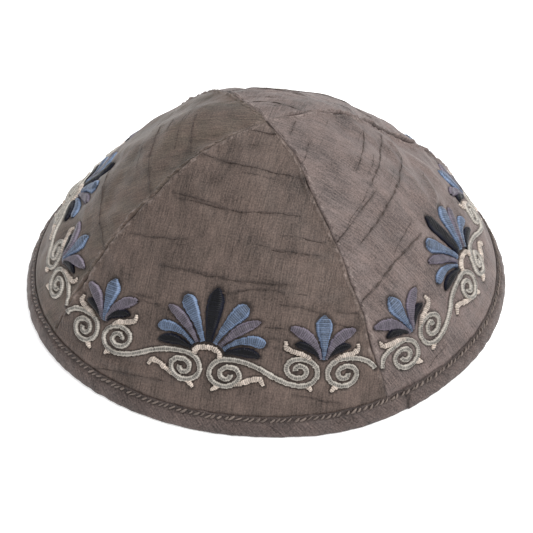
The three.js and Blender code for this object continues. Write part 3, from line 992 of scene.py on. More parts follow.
# The slubs that the cloth shows, by panel.
SLUBS = {
    Side.FRONT: (
        Slub(((-5.6, 114.5), (5.3, 113.9)), 0.5),
        Slub(((-18.4, 99.8), (-1.7, 97.6), (20.3, 97.3)), 0.6),
        Slub(((-26, 83.8), (-6.6, 80.9)), 0.45),
        Slub(((-23, 81.5), (1.1, 79.6), (22.9, 83.1)), 0.65),
        Slub(((26.1, 74.4), (33.8, 75.2)), 0.5),
        Slub(((-39.3, 65.6), (-26.3, 65.8), (-15, 66.6)), 0.55),
        Slub(((15.6, 68), (23.7, 69), (34.7, 69.6)), 0.5),
        Slub(((-23.5, 55.6), (6.8, 54.8), (24.5, 56.8)), 0.65),
        Slub(((-1.5, 49.6), (4.3, 50), (11.5, 52.9), (19.1, 54), (22.6, 53.4)), 0.5),
        Slub(((22, 49.3), (28.7, 49.7), (36.5, 49.4)), 0.48),
        Slub(((42.2, 50.6), (50.2, 51.3)), 0.45),
        Slub(((18.7, 40.8), (25.4, 41.2)), 0.4),
        Slub(((19.9, 36.7), (25.1, 37.2)), 0.36),
        Slub(((41.1, 45.8), (51.3, 45.5)), 0.4),
        Slub(((22.8, 33.8), (28.6, 33.8)), 0.32),
        Slub(((-33.8, 43.9), (-23.4, 43.6)), 0.45),
        Slub(((-43.1, 12.8), (-30, 14.4), (-13.9, 15)), 0.5),
        Slub(((31.5, 18.1), (48.9, 16.5)), 0.45),
        Slub(((-28.5, 41.7), (-20.5, 41.2)), 0.36),
    ),
    Side.RIGHT: (
        Slub(((-4.6, 110.3), (5, 111.1)), 0.5),
        Slub(((-17, 102.2), (-3, 102.9)), 0.45),
        Slub(((-6.4, 83.3), (10, 84), (22.3, 85.9)), 0.5),
        Slub(((-8.7, 76.1), (10, 76.4), (29.3, 78.3)), 0.55),
        Slub(((-32.7, 68.9), (-19.8, 67.6), (0.8, 66.7), (24, 67.3)), 0.65),
        Slub(((-37, 76), (-20.9, 75.2), (-8, 73.4)), 0.55),
        Slub(((-50.4, 54.8), (-46, 54.6), (-30.3, 54), (-9.6, 50.5)), 0.65),
    ),
    Side.BACK: (
        Slub(((-9.8, 108.3), (1.1, 105.4), (9.4, 106.9)), 0.5),
        Slub(((-30, 72), (12, 71)), 0.55),
        Slub(((-8, 88.5), (22, 89.4)), 0.5),
        Slub(((4, 58.2), (38, 57)), 0.55),
    ),
    Side.LEFT: (
        Slub(((-4, 76.2), (14, 76.8), (24.4, 78.7), (34.5, 80.8)), 0.6),
        Slub(((5.8, 52.6), (24.5, 54.3), (36.4, 55), (48.3, 57.5)), 0.5),
        Slub(((-3.6, 92.7), (7.8, 93.2), (15.9, 94.6)), 0.5),
        Slub(((-4.3, 82.8), (2.1, 82)), 0.4),
    ),
}


@dataclass
class ClothPanel:
    """One pointed panel of raw silk with its backing, and the slubs in its weft.

    The rows of its outer grid lie close together as far up as the embroidery reaches. The inner
    grid takes every third row and column.
    """

    crown: Crown
    side: Side
    columns: int = 180
    edge_crowding: float = 0.4
    fine_row: float = 0.62
    coarse_row: float = 1.05
    embroidered_top: float = 53.0
    lowest: float = 1.3
    hem_rows: int = 4
    wall: float = 1.4
    seam_gap: float = 0.06
    tip_radius: float = 0.3
    inner_stride: int = 3
    allowance_width: float = 7.0
    allowance_edge: float = 1.2
    allowance_rise: float = 0.45
    allowance_tip: tuple[float, float] = (3.0, 14.0)
    pull_depth: float = 0.3
    # Reach of the stitches' pull on the cloth, and of the painted shade round them.
    pull_reach: float = 0.42
    seam_shade: float = 0.3
    seam_shade_width: float = 0.4
    # Painted highlights in specks on the ridges beside the seams: strength, place, width and rise.
    seam_wear: float = 0.4
    wear_place: float = 1.0
    wear_width: float = 0.65
    wear_rise: tuple[float, float] = (9.0, 20.0)
    slub_shade: float = 0.48
    slub_reach: float = 0.72
    slub_ridge: float = 0.1
    short_slubs: int = 12
    short_lifts: tuple[float, float] = (12, 116)
    short_lengths: tuple[float, float] = (4, 19)
    short_thicknesses: tuple[float, float] = (0.14, 0.26)
    short_drift: float = 0.5
    short_reach: float = 0.86
    slub_spacing: float = 0.7
    slub_waver: float = 0.16
    slub_sides: int = 6
    slub_flatness: float = 0.6

    def lifts(self) -> Array:
        """Lifts of the rows of points.

        Returns:
            The lifts, their count a multiple of the inner stride plus one.
        """
        tip = self.crown.lift_at(self.tip_radius)
        hem = np.linspace(self.lowest, self.crown.binding_edge, self.hem_rows)
        worked = np.arange(self.crown.binding_edge + 0.3, self.embroidered_top, self.fine_row)
        spare = tip - self.embroidered_top
        rows = math.ceil(spare / self.coarse_row)
        rows += -(len(hem) + len(worked) + rows - 1) % self.inner_stride
        plain = np.linspace(self.embroidered_top, tip, rows)
        return np.concatenate([hem, worked, plain])

    def shares(self) -> Array:
        """Places of the columns, as shares of half a panel, closer together near the seams."""
        even = np.linspace(-1.0, 1.0, self.columns + 1)
        return (1 - self.edge_crowding) * even + self.edge_crowding * np.sin(even * QUARTER)

    def build(self, needle: "Embroidery", finishes: list[Material]) -> bpy.types.Object:
        """Makes the panel.

        Args:
            needle: The embroidery, which pulls the cloth in and paints shade round its stitches.
            finishes: Materials of the outside, the inside and the slubs.

        Returns:
            The panel's object.
        """
        lifts = self.lifts()
        radius = self.crown.radius_at(lifts)
        half = HALF_PANEL - np.arcsin(np.minimum(self.seam_gap / 2 / radius, 1.0))
        azimuth = half[:, None] * self.shares()[None, :]
        lift = np.repeat(lifts[:, None], azimuth.shape[1], axis=1)
        # The stitches' nearness pulls the cloth in and paints shade round them.
        shade = needle.nearness(azimuth, lift, self.pull_reach)
        offset = self.crown.sewing(azimuth, lift) - self.pull_depth * shade
        places = self.crown.flat(azimuth, lift)
        slubs = self._slubs()
        beside_slub = self._beside_slubs(places, slubs)
        offset = offset + self.slub_ridge * beside_slub
        outer = self.crown.point(self.side, azimuth, lift, offset)
        from_seam = (half[:, None] - np.abs(azimuth)) * radius[:, None]
        in_seam, painted_light = self._seam_marks(azimuth, lift, from_seam)
        # Painted shade along the slubs and in the seams.
        for dark in (self.slub_shade * beside_slub, self.seam_shade * in_seam):
            shade = np.clip(np.maximum(shade, dark), 0.0, 1.0)
        # Painted highlights on the ridges beside the seams take the shade below 0.
        shade = shade - painted_light * (1 - shade)
        step = self.inner_stride
        inner = self._inner(azimuth[::step, ::step], lift[::step, ::step])
        shape = Shape()
        self._shell(shape, outer, inner, places, shade)
        for slub in slubs:
            self._add_slub(shape, slub)
        return shape.build(f"dressed_panel_{self.side.label}", finishes)

    def _seam_marks(self, azimuth: Array, lift: Array, from_seam: Array) -> tuple[Array, Array]:
        """Painted shade in the panel's seams, and painted highlights on the ridges beside them.

        Args:
            azimuth: Azimuths from the panel's middle.
            lift: Lifts.
            from_seam: Distances from the nearer seam.

        Returns:
            How much of the seams' painted shade each point has, and how much painted highlight the
            ridges beside the seams have there, in specks.
        """
        across = SEAM_RADIUS * azimuth
        patches = 0.8 + 0.4 * Ripple(Seed.SEAM_PATCHES, 2.5, 9.0).at(across, lift)
        in_seam = bell(from_seam, self.seam_shade_width) * patches * self.crown.seam_depth(lift, 0.35)
        specks = 0.45 + 0.75 * Ripple(Seed.SEAM_SPECKS, 1.3, 4.5).at(across, lift)
        painted_light = self.seam_wear * np.clip(specks, 0.0, 1.4)
        painted_light = painted_light * bell(from_seam - self.wear_place, self.wear_width)
        return in_seam, painted_light * smooth_step(lift, *self.wear_rise)

    def _inner(self, azimuth: Array, lift: Array) -> Array:
        """The inside, with the seam allowances laid open along the seams.

        Args:
            azimuth: Azimuths from the panel's middle.
            lift: Lifts.

        Returns:
            The points of the inside.
        """
        radius = self.crown.radius_at(lift)
        beside = (HALF_PANEL - np.abs(azimuth)) * radius
        edge = self.crown.binding_edge
        turned = 1 - smooth_step(beside, self.allowance_width, self.allowance_width + self.allowance_edge)
        turned = turned * smooth_step(lift, edge, edge + 3)
        turned = turned * smooth_step(radius, *self.allowance_tip)
        return self.crown.point(self.side, azimuth, lift, -self.wall - self.allowance_rise * turned)

    def _shell(self, shape: Shape, outer: Array, inner: Array, places: Array, shade: Array) -> None:
        """Joins the outside and the inside into one closed shell.

        Args:
            shape: Where the shell is added.
            outer: Grid of the outside, whose last row is the tip.
            inner: Coarser grid of the inside.
            places: Cloth places of the outer grid.
            shade: Shade and wear of the outer grid.
        """
        step = self.inner_stride
        grids = []
        for points, place, dark in (
            (outer, places, shade),
            (inner, places[::step, ::step], np.zeros(inner.shape[:2])),
        ):
            rows, columns = points.shape[:2]
            body = points[:-1].reshape(-1, 3)
            tip = points[-1].mean(axis=0)[None]
            first = shape.points(np.concatenate([body, tip]), np.append(dark[:-1].reshape(-1), 0.0))
            index = first + np.arange((rows - 1) * columns).reshape(rows - 1, columns)
            index = np.concatenate([index, np.full((1, columns), first + (rows - 1) * columns)])
            grids.append((index, place))
        for finish, (index, place) in enumerate(grids):
            squares, triangles = self._cells(index, bool(finish))
            square_places, triangle_places = self._cells(place, bool(finish))
            shape.faces(squares.reshape(-1, 4), square_places, finish)
            shape.faces(triangles, triangle_places, finish)
        (over, over_place), (under, under_place) = grids
        for cut, flip in ((np.s_[:, 0], False), (np.s_[:, -1], True), (np.s_[0], True)):
            corners = self._edge(over[cut], under[cut], flip)
            shape.faces(corners, self._edge(over_place[cut], under_place[cut], flip))

    @staticmethod
    def _cells(grid: Array, flip: bool) -> tuple[Array, Array]:
        """Corners of a grid's cells.

        Args:
            grid: Point indices or places, whose last row is one point.
            flip: Whether the cells are turned over.

        Returns:
            The corners of the four-sided cells, and those of the triangles at the tip.
        """
        squares = [grid[:-2, :-1], grid[:-2, 1:], grid[1:-1, 1:], grid[1:-1, :-1]]
        triangles = [grid[-2, :-1], grid[-2, 1:], grid[-1, 1:]]
        if flip:
            squares, triangles = squares[::-1], triangles[::-1]
        return np.stack(squares, axis=2), np.stack(triangles, axis=1)

    def _edge(self, outer: Array, inner: Array, flip: bool) -> Array:
        """Corners of the faces between an edge of the outer grid and one of the inner.

        Args:
            outer: Point indices or places along the outer edge.
            inner: The same along the coarser inner edge.
            flip: Whether the faces are turned over.

        Returns:
            The corners, one face to a row.
        """
        starts = np.arange(len(inner) - 1) * self.inner_stride
        corners = [outer[starts + k] for k in range(self.inner_stride + 1)]
        corners += [inner[1:], inner[:-1]]
        return np.stack(corners[::-1] if flip else corners, axis=1)

    def _slubs(self) -> list[Slub]:
        """The panel's slubs.

        Returns:
            Those of the table, and short ones strewn between them.
        """
        draw = np.random.default_rng(Seed.SHORT_SLUBS + self.side.value)
        found = list(SLUBS[self.side])
        for _ in range(self.short_slubs):
            up = draw.uniform(*self.short_lifts)
            free = HALF_PANEL * self.crown.radius_at(np.array(up)) * self.short_reach
            across = draw.uniform(-free, free)
            length = draw.uniform(*self.short_lengths)
            drift = draw.uniform(-self.short_drift, self.short_drift)
            thickness = draw.uniform(*self.short_thicknesses)
            line = ((across - length / 2, up), (across + length / 2, up + drift))
            found.append(Slub(line, thickness))
        return found

    def _beside_slubs(self, places: Array, slubs: list[Slub]) -> Array:
        """How close the cloth is to a slub, from 0 to about 1.

        Args:
            places: Places of the cloth's points in the flat cloth.
            slubs: The panel's slubs.

        Returns:
            The closeness of each point, less along the thin slubs.
        """
        near = np.zeros(places.shape[:2])
        spots = Ripple(Seed.SLUB_SPOTS + self.side.value, 2.0, 9.0)
        spots = spots.at(places[..., 0], places[..., 1])
        for slub in slubs:
            for start, end in zip(slub.line, slub.line[1:]):
                span = np.subtract(end, start)
                share = np.clip((places - start) @ span / (span @ span), 0.0, 1.0)
                gap = np.linalg.norm(places - start - share[..., None] * span, axis=-1)
                strength = slub.thickness / FULL_SLUB * (0.75 + 0.6 * spots)
                near = np.maximum(near, strength * bell(gap, self.slub_reach))
        return np.clip(near, 0.0, 1.4)

    def _add_slub(self, shape: Shape, slub: Slub) -> None:
        """Adds one slub as a lumpy thread that is half sunk in the cloth.

        Args:
            shape: Where the slub is added.
            slub: The slub. What of it lies in a seam or under the binding is left out.
        """
        line = np.array(slub.line, dtype=float)
        gone = np.concatenate([[0.0], np.cumsum(np.linalg.norm(np.diff(line, axis=0), axis=1))])
        even = np.linspace(0.0, gone[-1], max(4, int(gone[-1] / self.slub_spacing)))
        across = np.interp(even, gone, line[:, 0])
        up = np.interp(even, gone, line[:, 1])
        seed = int(abs(line[0, 0] * 7 + line[0, 1] * 13)) + Seed.SLUB_WAVER
        up = up + self.slub_waver * Ripple(seed, 4.0, 16.0, 8).at(across, across * 0)
        azimuth, lift = self.crown.lifted(across, up)
        inside = (HALF_PANEL - np.abs(azimuth)) * self.crown.radius_at(lift) > 0.5
        inside &= (lift > self.crown.binding_edge + 0.5) & (lift < self.crown.length - 2)
        if inside.sum() < 4:
            return
        azimuth, lift, across, up = (row[inside] for row in (azimuth, lift, across, up))
        lumps = 0.9 + 0.55 * Ripple(seed + 1, 1.8, 7.0, 8).at(across, across * 0)
        taper = np.sin(math.pi * np.linspace(0.02, 0.98, len(across))) ** 0.3
        size = (slub.thickness / 2 * taper * np.clip(lumps, 0.22, 1.8))[:, None]
        around = np.linspace(0, 2 * math.pi, self.slub_sides + 1)[:-1]
        lifts = lift[:, None] + size * np.cos(around)
        ridge = self.slub_ridge * slub.thickness / FULL_SLUB
        base = self.crown.sewing(azimuth, lift)[:, None] + ridge
        offset = base + self.slub_flatness * size * np.sin(around)
        azimuths = np.repeat(azimuth[:, None], self.slub_sides, axis=1)
        points = self.crown.point(self.side, azimuths, lifts, offset)
        places = np.stack([across[:, None] + 0 * lifts, up[:, None] + size * np.cos(around)], axis=-1)
        shape.tube(points[:, ::-1], places[:, ::-1], 2)


@dataclass(frozen=True)
class Frame:
    """A motif's own frame: x from its axis and y from the garland line, turned by its lean."""

    crown: Crown
    azimuth: float
    lean: float
    drop: float = 0.0
    garland: float = 21.6

    def place(self, x: Array, y: Array, width: Array) -> Array:
        """Places points of the motif on its panel.

        Args:
            x: Distances from the motif's axis.
            y: Distances from the garland line.
            width: Width of the stroke at each point.

        Returns:
            Azimuth, lift and width of the points, one to a row.
        """
        lift = self.garland - self.drop - x * math.sin(self.lean) + y * math.cos(self.lean)
        aside = x * math.cos(self.lean) + y * math.sin(self.lean)
        azimuth = self.azimuth + aside / self.crown.radius_at(lift)
        return np.stack([azimuth, lift, width + 0 * lift], axis=-1)


@dataclass(frozen=True)
class Petal:
    """A petal on one side of a motif's axis.

    form gives the width along the petal. across is a share of the motif's reach, up of its
    height, width of its middle petal's, bow of the petal's own length, and root the angle round
    the point that it springs from.
    """

    form: Rows
    thread: Thread
    across: float
    up: float
    width: float
    bow: float
    root: float


@dataclass(frozen=True)
class Fan:
    """A fan of petals that meet at their roots.

    height and reach are those of the whole fan, and petal_width is that of its middle petal. The
    roots stand on an arc root_reach wide and root_rise high over root_foot, and no petal is
    narrower there than root_width.
    """

    frame: Frame
    petals: tuple[Petal, ...]
    height: float
    reach: float
    petal_width: float
    root_reach: float
    root_rise: float
    root_foot: float
    root_width: float


@dataclass(frozen=True)
class SprigPlace:
    """Where a sprig stands on its half of a panel.

    place is an azimuth as a share of half a panel, lean in degrees, and drop how far the
    sprig's garland line lies below the palmette's.
    """

    place: float
    lean: float
    drop: float


@dataclass(frozen=True)
class Volute:
    """A volute on one side of its motif's axis, wound anticlockwise from a start angle.

    form gives its radius, as a share of its first, by turns. spread is how much wider than high
    it is, and place how far its middle lies from the axis.
    """

    frame: Frame
    hand: int
    start: float
    radius: float = 5.2
    spread: float = 1.2
    place: float = 8.0
    steps: int = 90
    accent_steps: int = 6
    form: Rows = (
        (0, 1), (0.25, 1), (0.5, 0.84), (0.75, 0.72),
        (1, 0.47), (1.25, 0.39), (1.5, 0.35), (1.75, 0.22),
    )

    def radius_at(self, angle: Array) -> Array:
        """Radius at an angle in degrees, counted on from the start."""
        return self.radius * read_form(self.form, (angle - self.start) / 360)

    def at(self, angle: Array, radius: Array, width: Array) -> Array:
        """Places points round the volute's middle, by their angles in degrees."""
        x = self.hand * self.place + radius * self.spread * np.cos(np.radians(angle))
        return self.frame.place(x, radius * np.sin(np.radians(angle)), width)

    def path(self, width: float) -> Array:
        """The volute's own path, of one width, from the outer turn inwards."""
        angle = self.start + 360 * self.form[-1][0] * np.linspace(0, 1, self.steps)
        return self.at(angle, self.radius_at(angle), np.full(self.steps, width))

    def accent(self, rows: Rows, width: float, mirror: int = 1) -> Array:
        """Path of a pale accent beside the volute.

        Args:
            rows: Turn in degrees, reach as a share of the radius or 0 on the outer turn, and
                width as a share of the accent's.
            width: Width of the accent.
            mirror: -1 for an accent that is mirrored across the volute's axis.

        Returns:
            The path's azimuths, lifts and widths.
        """
        table = np.array(rows, dtype=float)
        angle = table[:, 0] if mirror > 0 else 180 - table[:, 0]
        wound = self.start + np.mod(angle - self.start, 360)
        radius = np.where(table[:, 1] > 0, table[:, 1] * self.radius, self.radius_at(wound))
        return smooth_path(self.at(angle, radius, table[:, 2] * width), self.accent_steps)


@dataclass(frozen=True)
class Stroke:
    """A stroke of satin stitches along a path of azimuths, lifts and widths.

    relief is how far it stands out. The greater its fullness is, the flatter is its top and the
    steeper are its sides. order is its number in its piece.
    """

    thread: Thread
    path: Array
    relief: float
    fullness: float
    order: int


@dataclass
class Embroidery:
    """The border of palmettes, sprigs and running scrolls, sewn in satin stitch.

    A petal's form gives its width by places along it, both as shares. The rows of the leaf, the
    tail and the spur are those of Volute.accent.
    """

    crown: Crown
    right_sprig: SprigPlace = SprigPlace(0.67, 11.5, 0.2)
    left_sprig: SprigPlace = SprigPlace(0.695, 13, 1.5)
    scroll_width: float = 1.9
    scroll_relief: float = 0.95
    scroll_fullness: float = 2.2
    scroll_leave: float = 0.48
    scroll_arrive: float = 0.38
    seam_clearance: float = 0.3
    bridge_rows: int = 26
    accent_width: float = 1.7
    pale_fullness: float = 1.12
    petal_relief: float = 1.1
    petal_fullness: tuple[float, float] = (2.6, 3.2)
    wide_petal: float = 0.6
    petal_bend: float = 0.55
    petal_rows: int = 40
    stitch: float = 0.72
    rows_per_stitch: int = 4
    across: int = 11
    tone_step: int = 37
    furrow: float = 0.16
    full_furrow_width: float = 4.0
    least_furrow: float = 0.4
    least_reach: float = 0.12
    end_height: float = 0.45
    end_stitches: float = 2
    full_height_reach: float = 0.8
    least_height: float = 0.5
    ragged: float = 0.09
    ragged_pale: float = 0.13
    dip: float = 0.14
    dip_width: float = 0.4
    layer_step: float = 0.07
    layers: int = 5
    sunk: float = 0.3
    arch_reach: float = 4.6
    arch_rise: float = 2.3
    arch_leg: float = 0.5
    arch_foot: float = 6.1
    arch_rows: int = 36
    border: tuple[float, float] = (9.0, 56.0)
    near_lifts: float = 4.0
    blade_form: Rows = (
        (0, 0.37), (0.25, 0.66), (0.47, 0.89), (0.7, 1),
        (0.84, 0.85), (0.94, 0.52), (1, 0.18),
    )
    spoon_form: Rows = (
        (0, 0.26), (0.25, 0.42), (0.5, 0.68), (0.72, 0.95),
        (0.83, 1), (0.94, 0.78), (1, 0.34),
    )
    leaf_form: Rows = (
        (0, 0.28), (0.25, 0.62), (0.45, 0.93), (0.62, 1),
        (0.8, 0.86), (0.93, 0.55), (1, 0.24),
    )
    bud_form: Rows = (
        (0, 0.2), (0.2, 0.32), (0.38, 0.52), (0.55, 0.82),
        (0.7, 1), (0.8, 0.94), (0.91, 0.6), (1, 0.15),
    )
    leaf: Rows = ((134, 0, 0.75), (104, 1.12, 1), (75, 1.31, 1.05), (62, 1.7, 0.95), (67, 2.08, 0.6))
    tail: Rows = ((-62, 0, 0.8), (-28, 1.08, 1), (-9, 1.5, 1.05), (-6, 1.92, 1), (-16, 2.26, 0.6))
    spur: Rows = ((243, 0, 1.25), (241, 1.15, 1.15), (239, 1.45, 0.55))

    def __post_init__(self) -> None:
        """Lays out the strokes of one panel."""
        self.palmette = Frame(self.crown, 0.0, 0.0)
        self.middles = {"palmette": self._fan(self._palmette_fan()), "arch": [self._arch()]}
        self.halves = {}
        samples = [(stroke, 1) for rows in self.middles.values() for stroke in rows]
        for hand, sprig in ((Hand.RIGHT, self.right_sprig), (Hand.LEFT, self.left_sprig)):
            frame = Frame(self.crown, sprig.place * HALF_PANEL, math.radians(sprig.lean), sprig.drop)
            self.halves[hand] = {
                "sprig": self._fan(self._sprig_fan(frame)),
                "wave_scroll": self._wave_scroll(frame),
                "end_scroll": self._end_scroll(frame),
            }
            samples += [(stroke, hand.value) for rows in self.halves[hand].values() for stroke in rows]
        spaced = [self._spaced(stroke.path, 0.5) * (sign, 1, 1) for stroke, sign in samples]
        self._sewn = np.concatenate(spaced)

    def nearness(self, azimuth: Array, lift: Array, reach: float) -> Array:
        """How close the cloth is to the stitches, 1 under them and 0 far away.

        Args:
            azimuth: Azimuths of the cloth's points from the panel's middle.
            lift: Their lifts.
            reach: How far the stitches' pull reaches.

        Returns:
            The nearness of each point.
        """
        near = np.zeros(azimuth.shape)
        rows = np.flatnonzero((lift[:, 0] > self.border[0]) & (lift[:, 0] < self.border[1]))
        for row in rows:
            apart = np.abs(self._sewn[:, 1] - lift[row, 0])
            close = self._sewn[apart < self.near_lifts + reach * 2]
            if not len(close):
                continue
            radius = self.crown.radius_at(lift[row, 0])
            aside = (azimuth[row][:, None] - close[None, :, 0]) * radius
            gap = np.hypot(aside, lift[row, 0] - close[None, :, 1]) - close[None, :, 2] / 2
            near[row] = bell(np.maximum(gap.min(axis=1), 0.0), reach)
        return near

    def build(self, side: Side, finishes: dict[Thread, Material]) -> list[bpy.types.Object]:
        """Sews the border of one panel, one piece for each of its solids.

        Args:
            side: The panel.
            finishes: The material of each thread.

        Returns:
            The pieces, each named for its solid.
        """
        pieces = []
        for name, strokes in self.middles.items():
            pieces.append(self._sew(f"{name}_{side.label}", side, strokes, 1, finishes))
        for hand, groups in self.halves.items():
            for name, strokes in groups.items():
                label = f"{name}_{side.label}_{hand.name.lower()}"
                pieces.append(self._sew(label, side, strokes, hand.value, finishes))
        return pieces

    def _spaced(self, path: Array, spacing: float) -> Array:
        """Spreads the points of a path evenly.

        Args:
            path: The path's azimuths, lifts and widths.
            spacing: About how far apart the points come to lie.

        Returns:
            The path through evenly spaced points.
        """
        radius = self.crown.radius_at(path[:, 1])
        aside = np.diff(path[:, 0]) * (radius[1:] + radius[:-1]) / 2
        gone = np.concatenate([[0.0], np.cumsum(np.hypot(aside, np.diff(path[:, 1])))])
        count = max(6, round(gone[-1] / spacing)) + 1
        even = np.linspace(0, gone[-1], count)
        return np.stack([np.interp(even, gone, path[:, k]) for k in range(3)], axis=-1)

    def _sew(
        self,
        name: str,
        side: Side,
        strokes: list[Stroke],
        hand: int,
        finishes: dict[Thread, Material],
    ) -> bpy.types.Object:
        """Makes one piece of embroidery.

        Args:
            name: Name of its solid.
            side: The panel.
            strokes: The strokes that it is sewn in.
            hand: 1 on the panel's right half, and -1 on its left.
            finishes: The material of each thread.

        Returns:
            The piece.
        """
        threads = list(dict.fromkeys(stroke.thread for stroke in strokes))
        shape = Shape()
        seed = Seed.SEWING * (side.value + 1) + sum(map(ord, name))
        for number, stroke in enumerate(strokes):
            draw = np.random.default_rng(seed + number)
            self._satin(shape, side, stroke, hand, draw, threads.index(stroke.thread))
        return shape.build(f"sewn_{name}", [finishes[thread] for thread in threads])

    def _satin(
        self, shape: Shape, side: Side, stroke: Stroke, hand: int, draw: np.random.Generator, finish: int
    ) -> None:
        """Adds a domed column of stitches that lie across the stroke.

        Args:
            shape: Where the column is added.
            side: The panel.
            stroke: The stroke.
            hand: 1 on the panel's right half, and -1 on its left.
            draw: Source of the small irregularities.
            finish: The finish's number in the mesh.
        """
        path = self._spaced(stroke.path, self.stitch / self.rows_per_stitch)
        rows = np.arange(len(path))
        number = rows // self.rows_per_stitch
        valley = (rows % self.rows_per_stitch == 0).astype(float)
        radius = self.crown.radius_at(path[:, 1])
        along = np.stack([np.gradient(path[:, 0]) * radius, np.gradient(path[:, 1])], axis=-1)
        along /= np.linalg.norm(along, axis=1)[:, None]
        ragged = self.ragged_pale if stroke.thread is Thread.PALE else self.ragged
        stray = draw.normal(0.0, ragged, (number[-1] + 1, 2))
        share = np.linspace(1.0, -1.0, self.across)
        furrow = np.clip(path[:, 2] / self.full_furrow_width, self.least_furrow, 1.0)
        furrow = self.furrow * furrow * valley
        half = path[:, 2, None] / 2 - 0.5 * furrow[:, None]
        reach = half + np.where(share[None, :] > 0, stray[number, :1], stray[number, 1:])
        reach = np.maximum(reach, self.least_reach)
        azimuth = path[:, 0, None] - along[:, 1, None] * share * reach / radius[:, None]
        lift = path[:, 1, None] + along[:, 0, None] * share * reach
        dip = self.dip * bell(share, self.dip_width)
        dome = (1 - np.abs(share) ** stroke.fullness) * (1 - dip)
        ends = np.minimum(rows, rows[::-1]) / self.rows_per_stitch
        rounding = self.end_height + (1 - self.end_height) * np.clip(ends / self.end_stitches, 0, 1)
        slimness = np.clip(half[:, 0] / self.full_height_reach, self.least_height, 1)
        height = stroke.relief * rounding * slimness
        level = self.layer_step * (stroke.order % self.layers)
        offset = -self.sunk + (height + self.sunk + level)[:, None] * dome
        offset = offset - furrow[:, None] * dome
        base = self.crown.sewing(azimuth, lift)
        points = self.crown.point(side, hand * azimuth, lift, base + offset)
        places = np.stack([rows[:, None] / self.rows_per_stitch + 0 * lift, share + 0 * lift], axis=-1)
        places[..., 0] += self.tone_step * stroke.order
        if hand < 0:
            points, places = points[:, ::-1], places[:, ::-1]
        shape.tube(points, places, finish)

    def _fan(self, fan: Fan) -> list[Stroke]:
        """Lays out the petals of a fan.

        Args:
            fan: The fan.

        Returns:
            The petals' strokes, those beside the middle one in pairs.
        """
        strokes = []
        share = np.linspace(0.0, 1.0, self.petal_rows)
        for petal in fan.petals:
            turn = math.radians(petal.root)
            for hand in (1, -1) if petal.across else (1,):
                aside = hand * fan.root_reach * math.sin(turn)
                root = np.array([aside, fan.root_foot + fan.root_rise * math.cos(turn)])
                tip = np.array([hand * petal.across * fan.reach, petal.up * fan.height])
                span = tip - root
                bow = np.array([-span[1], span[0]]) * np.sign(tip[0]) * petal.bow * 2
                middle = root + self.petal_bend * span + bow
                line = np.outer((1 - share) ** 2, root) + np.outer(2 * share * (1 - share), middle)
                line += np.outer(share**2, tip)
                width = petal.width * fan.petal_width * read_form(petal.form, share)
                width = np.maximum(width, fan.root_width * (1 - 3 * share))
                path = fan.frame.place(line[:, 0], line[:, 1], width)
                fullness = self.petal_fullness[petal.width > self.wide_petal]
                strokes.append(Stroke(petal.thread, path, self.petal_relief, fullness, len(strokes)))
        return strokes

    def _palmette_fan(self) -> Fan:
        """The palmette's fan.

        Returns:
            The fan of nine petals over the arch.
        """
        petals = (
            Petal(self.blade_form, Thread.NAVY, 0, 1, 0.94, 0, 0),
            Petal(self.spoon_form, Thread.BLUE, 0.58, 0.82, 0.85, 0.05, 20),
            Petal(self.leaf_form, Thread.MAUVE, 0.86, 0.648, 0.56, 0.09, 41),
            Petal(self.spoon_form, Thread.BLUE, 1, 0.37, 0.6, 0.17, 60),
            Petal(self.leaf_form, Thread.NAVY, 0.94, 0.228, 0.55, 0.1, 80),
        )
        reach = self.arch_reach + self.accent_width
        rise = self.arch_rise + self.accent_width * 0.75
        foot = self.arch_foot + self.accent_width / 3
        return Fan(
            self.palmette, petals, height=29.5, reach=19.9, petal_width=6.8,
            root_reach=reach, root_rise=rise, root_foot=foot, root_width=1.9,
        )

    def _sprig_fan(self, frame: Frame) -> Fan:
        """A sprig's fan.

        Args:
            frame: The sprig's frame.

        Returns:
            The fan of five petals between two scrolls.
        """
        petals = (
            Petal(self.bud_form, Thread.BLUE, 0, 1, 1, 0, 0),
            Petal(self.leaf_form, Thread.MAUVE, 1, 0.735, 0.68, 0.15, 45),
            Petal(self.leaf_form, Thread.NAVY, 0.84, 0.465, 0.5, 0.14, 78),
        )
        return Fan(
            frame, petals, height=20.0, reach=11.9, petal_width=6.2,
            root_reach=1.2, root_rise=-0.6, root_foot=5.2, root_width=1.1,
        )

    def _arch(self) -> Stroke:
        """Lays out the arch.

        Returns:
            The pale stroke over the gap between the palmette's volutes.
        """
        turn = np.linspace(math.pi + self.arch_leg, -self.arch_leg, self.arch_rows)
        x = self.arch_reach * np.cos(turn)
        y = self.arch_foot + self.arch_rise * np.sin(turn)
        width = self.accent_width * (1.12 - 0.3 * np.clip(-np.sin(turn) * 2, 0, 1))
        path = self.palmette.place(x, y, width)
        return Stroke(Thread.PALE, path, self.scroll_relief, self.scroll_fullness, 4)

    def _bridge(self, start: Array, leave: Array, end: Array, arrive: Array) -> Array:
        """Path from one point of a scroll to another.

        Args:
            start: Azimuth, lift and width of the first point.
            leave: Pull away from the first point, across and up.
            end: Azimuth, lift and width of the last point.
            arrive: Pull into the last point, across and up.

        Returns:
            The azimuths, lifts and widths between the two points.
        """
        radius = self.crown.radius_at(np.array(self.palmette.garland))
        first = np.array([start[0] * radius, start[1]])
        last = np.array([end[0] * radius, end[1]])
        share = np.linspace(0, 1, self.bridge_rows)[1:-1]
        line = np.outer((1 - share) ** 3, first) + np.outer(3 * share * (1 - share) ** 2, first + leave)
        line += np.outer(3 * share**2 * (1 - share), last - arrive) + np.outer(share**3, last)
        width = np.full(len(share), self.scroll_width)
        return np.stack([line[:, 0] / radius, line[:, 1], width], axis=-1)

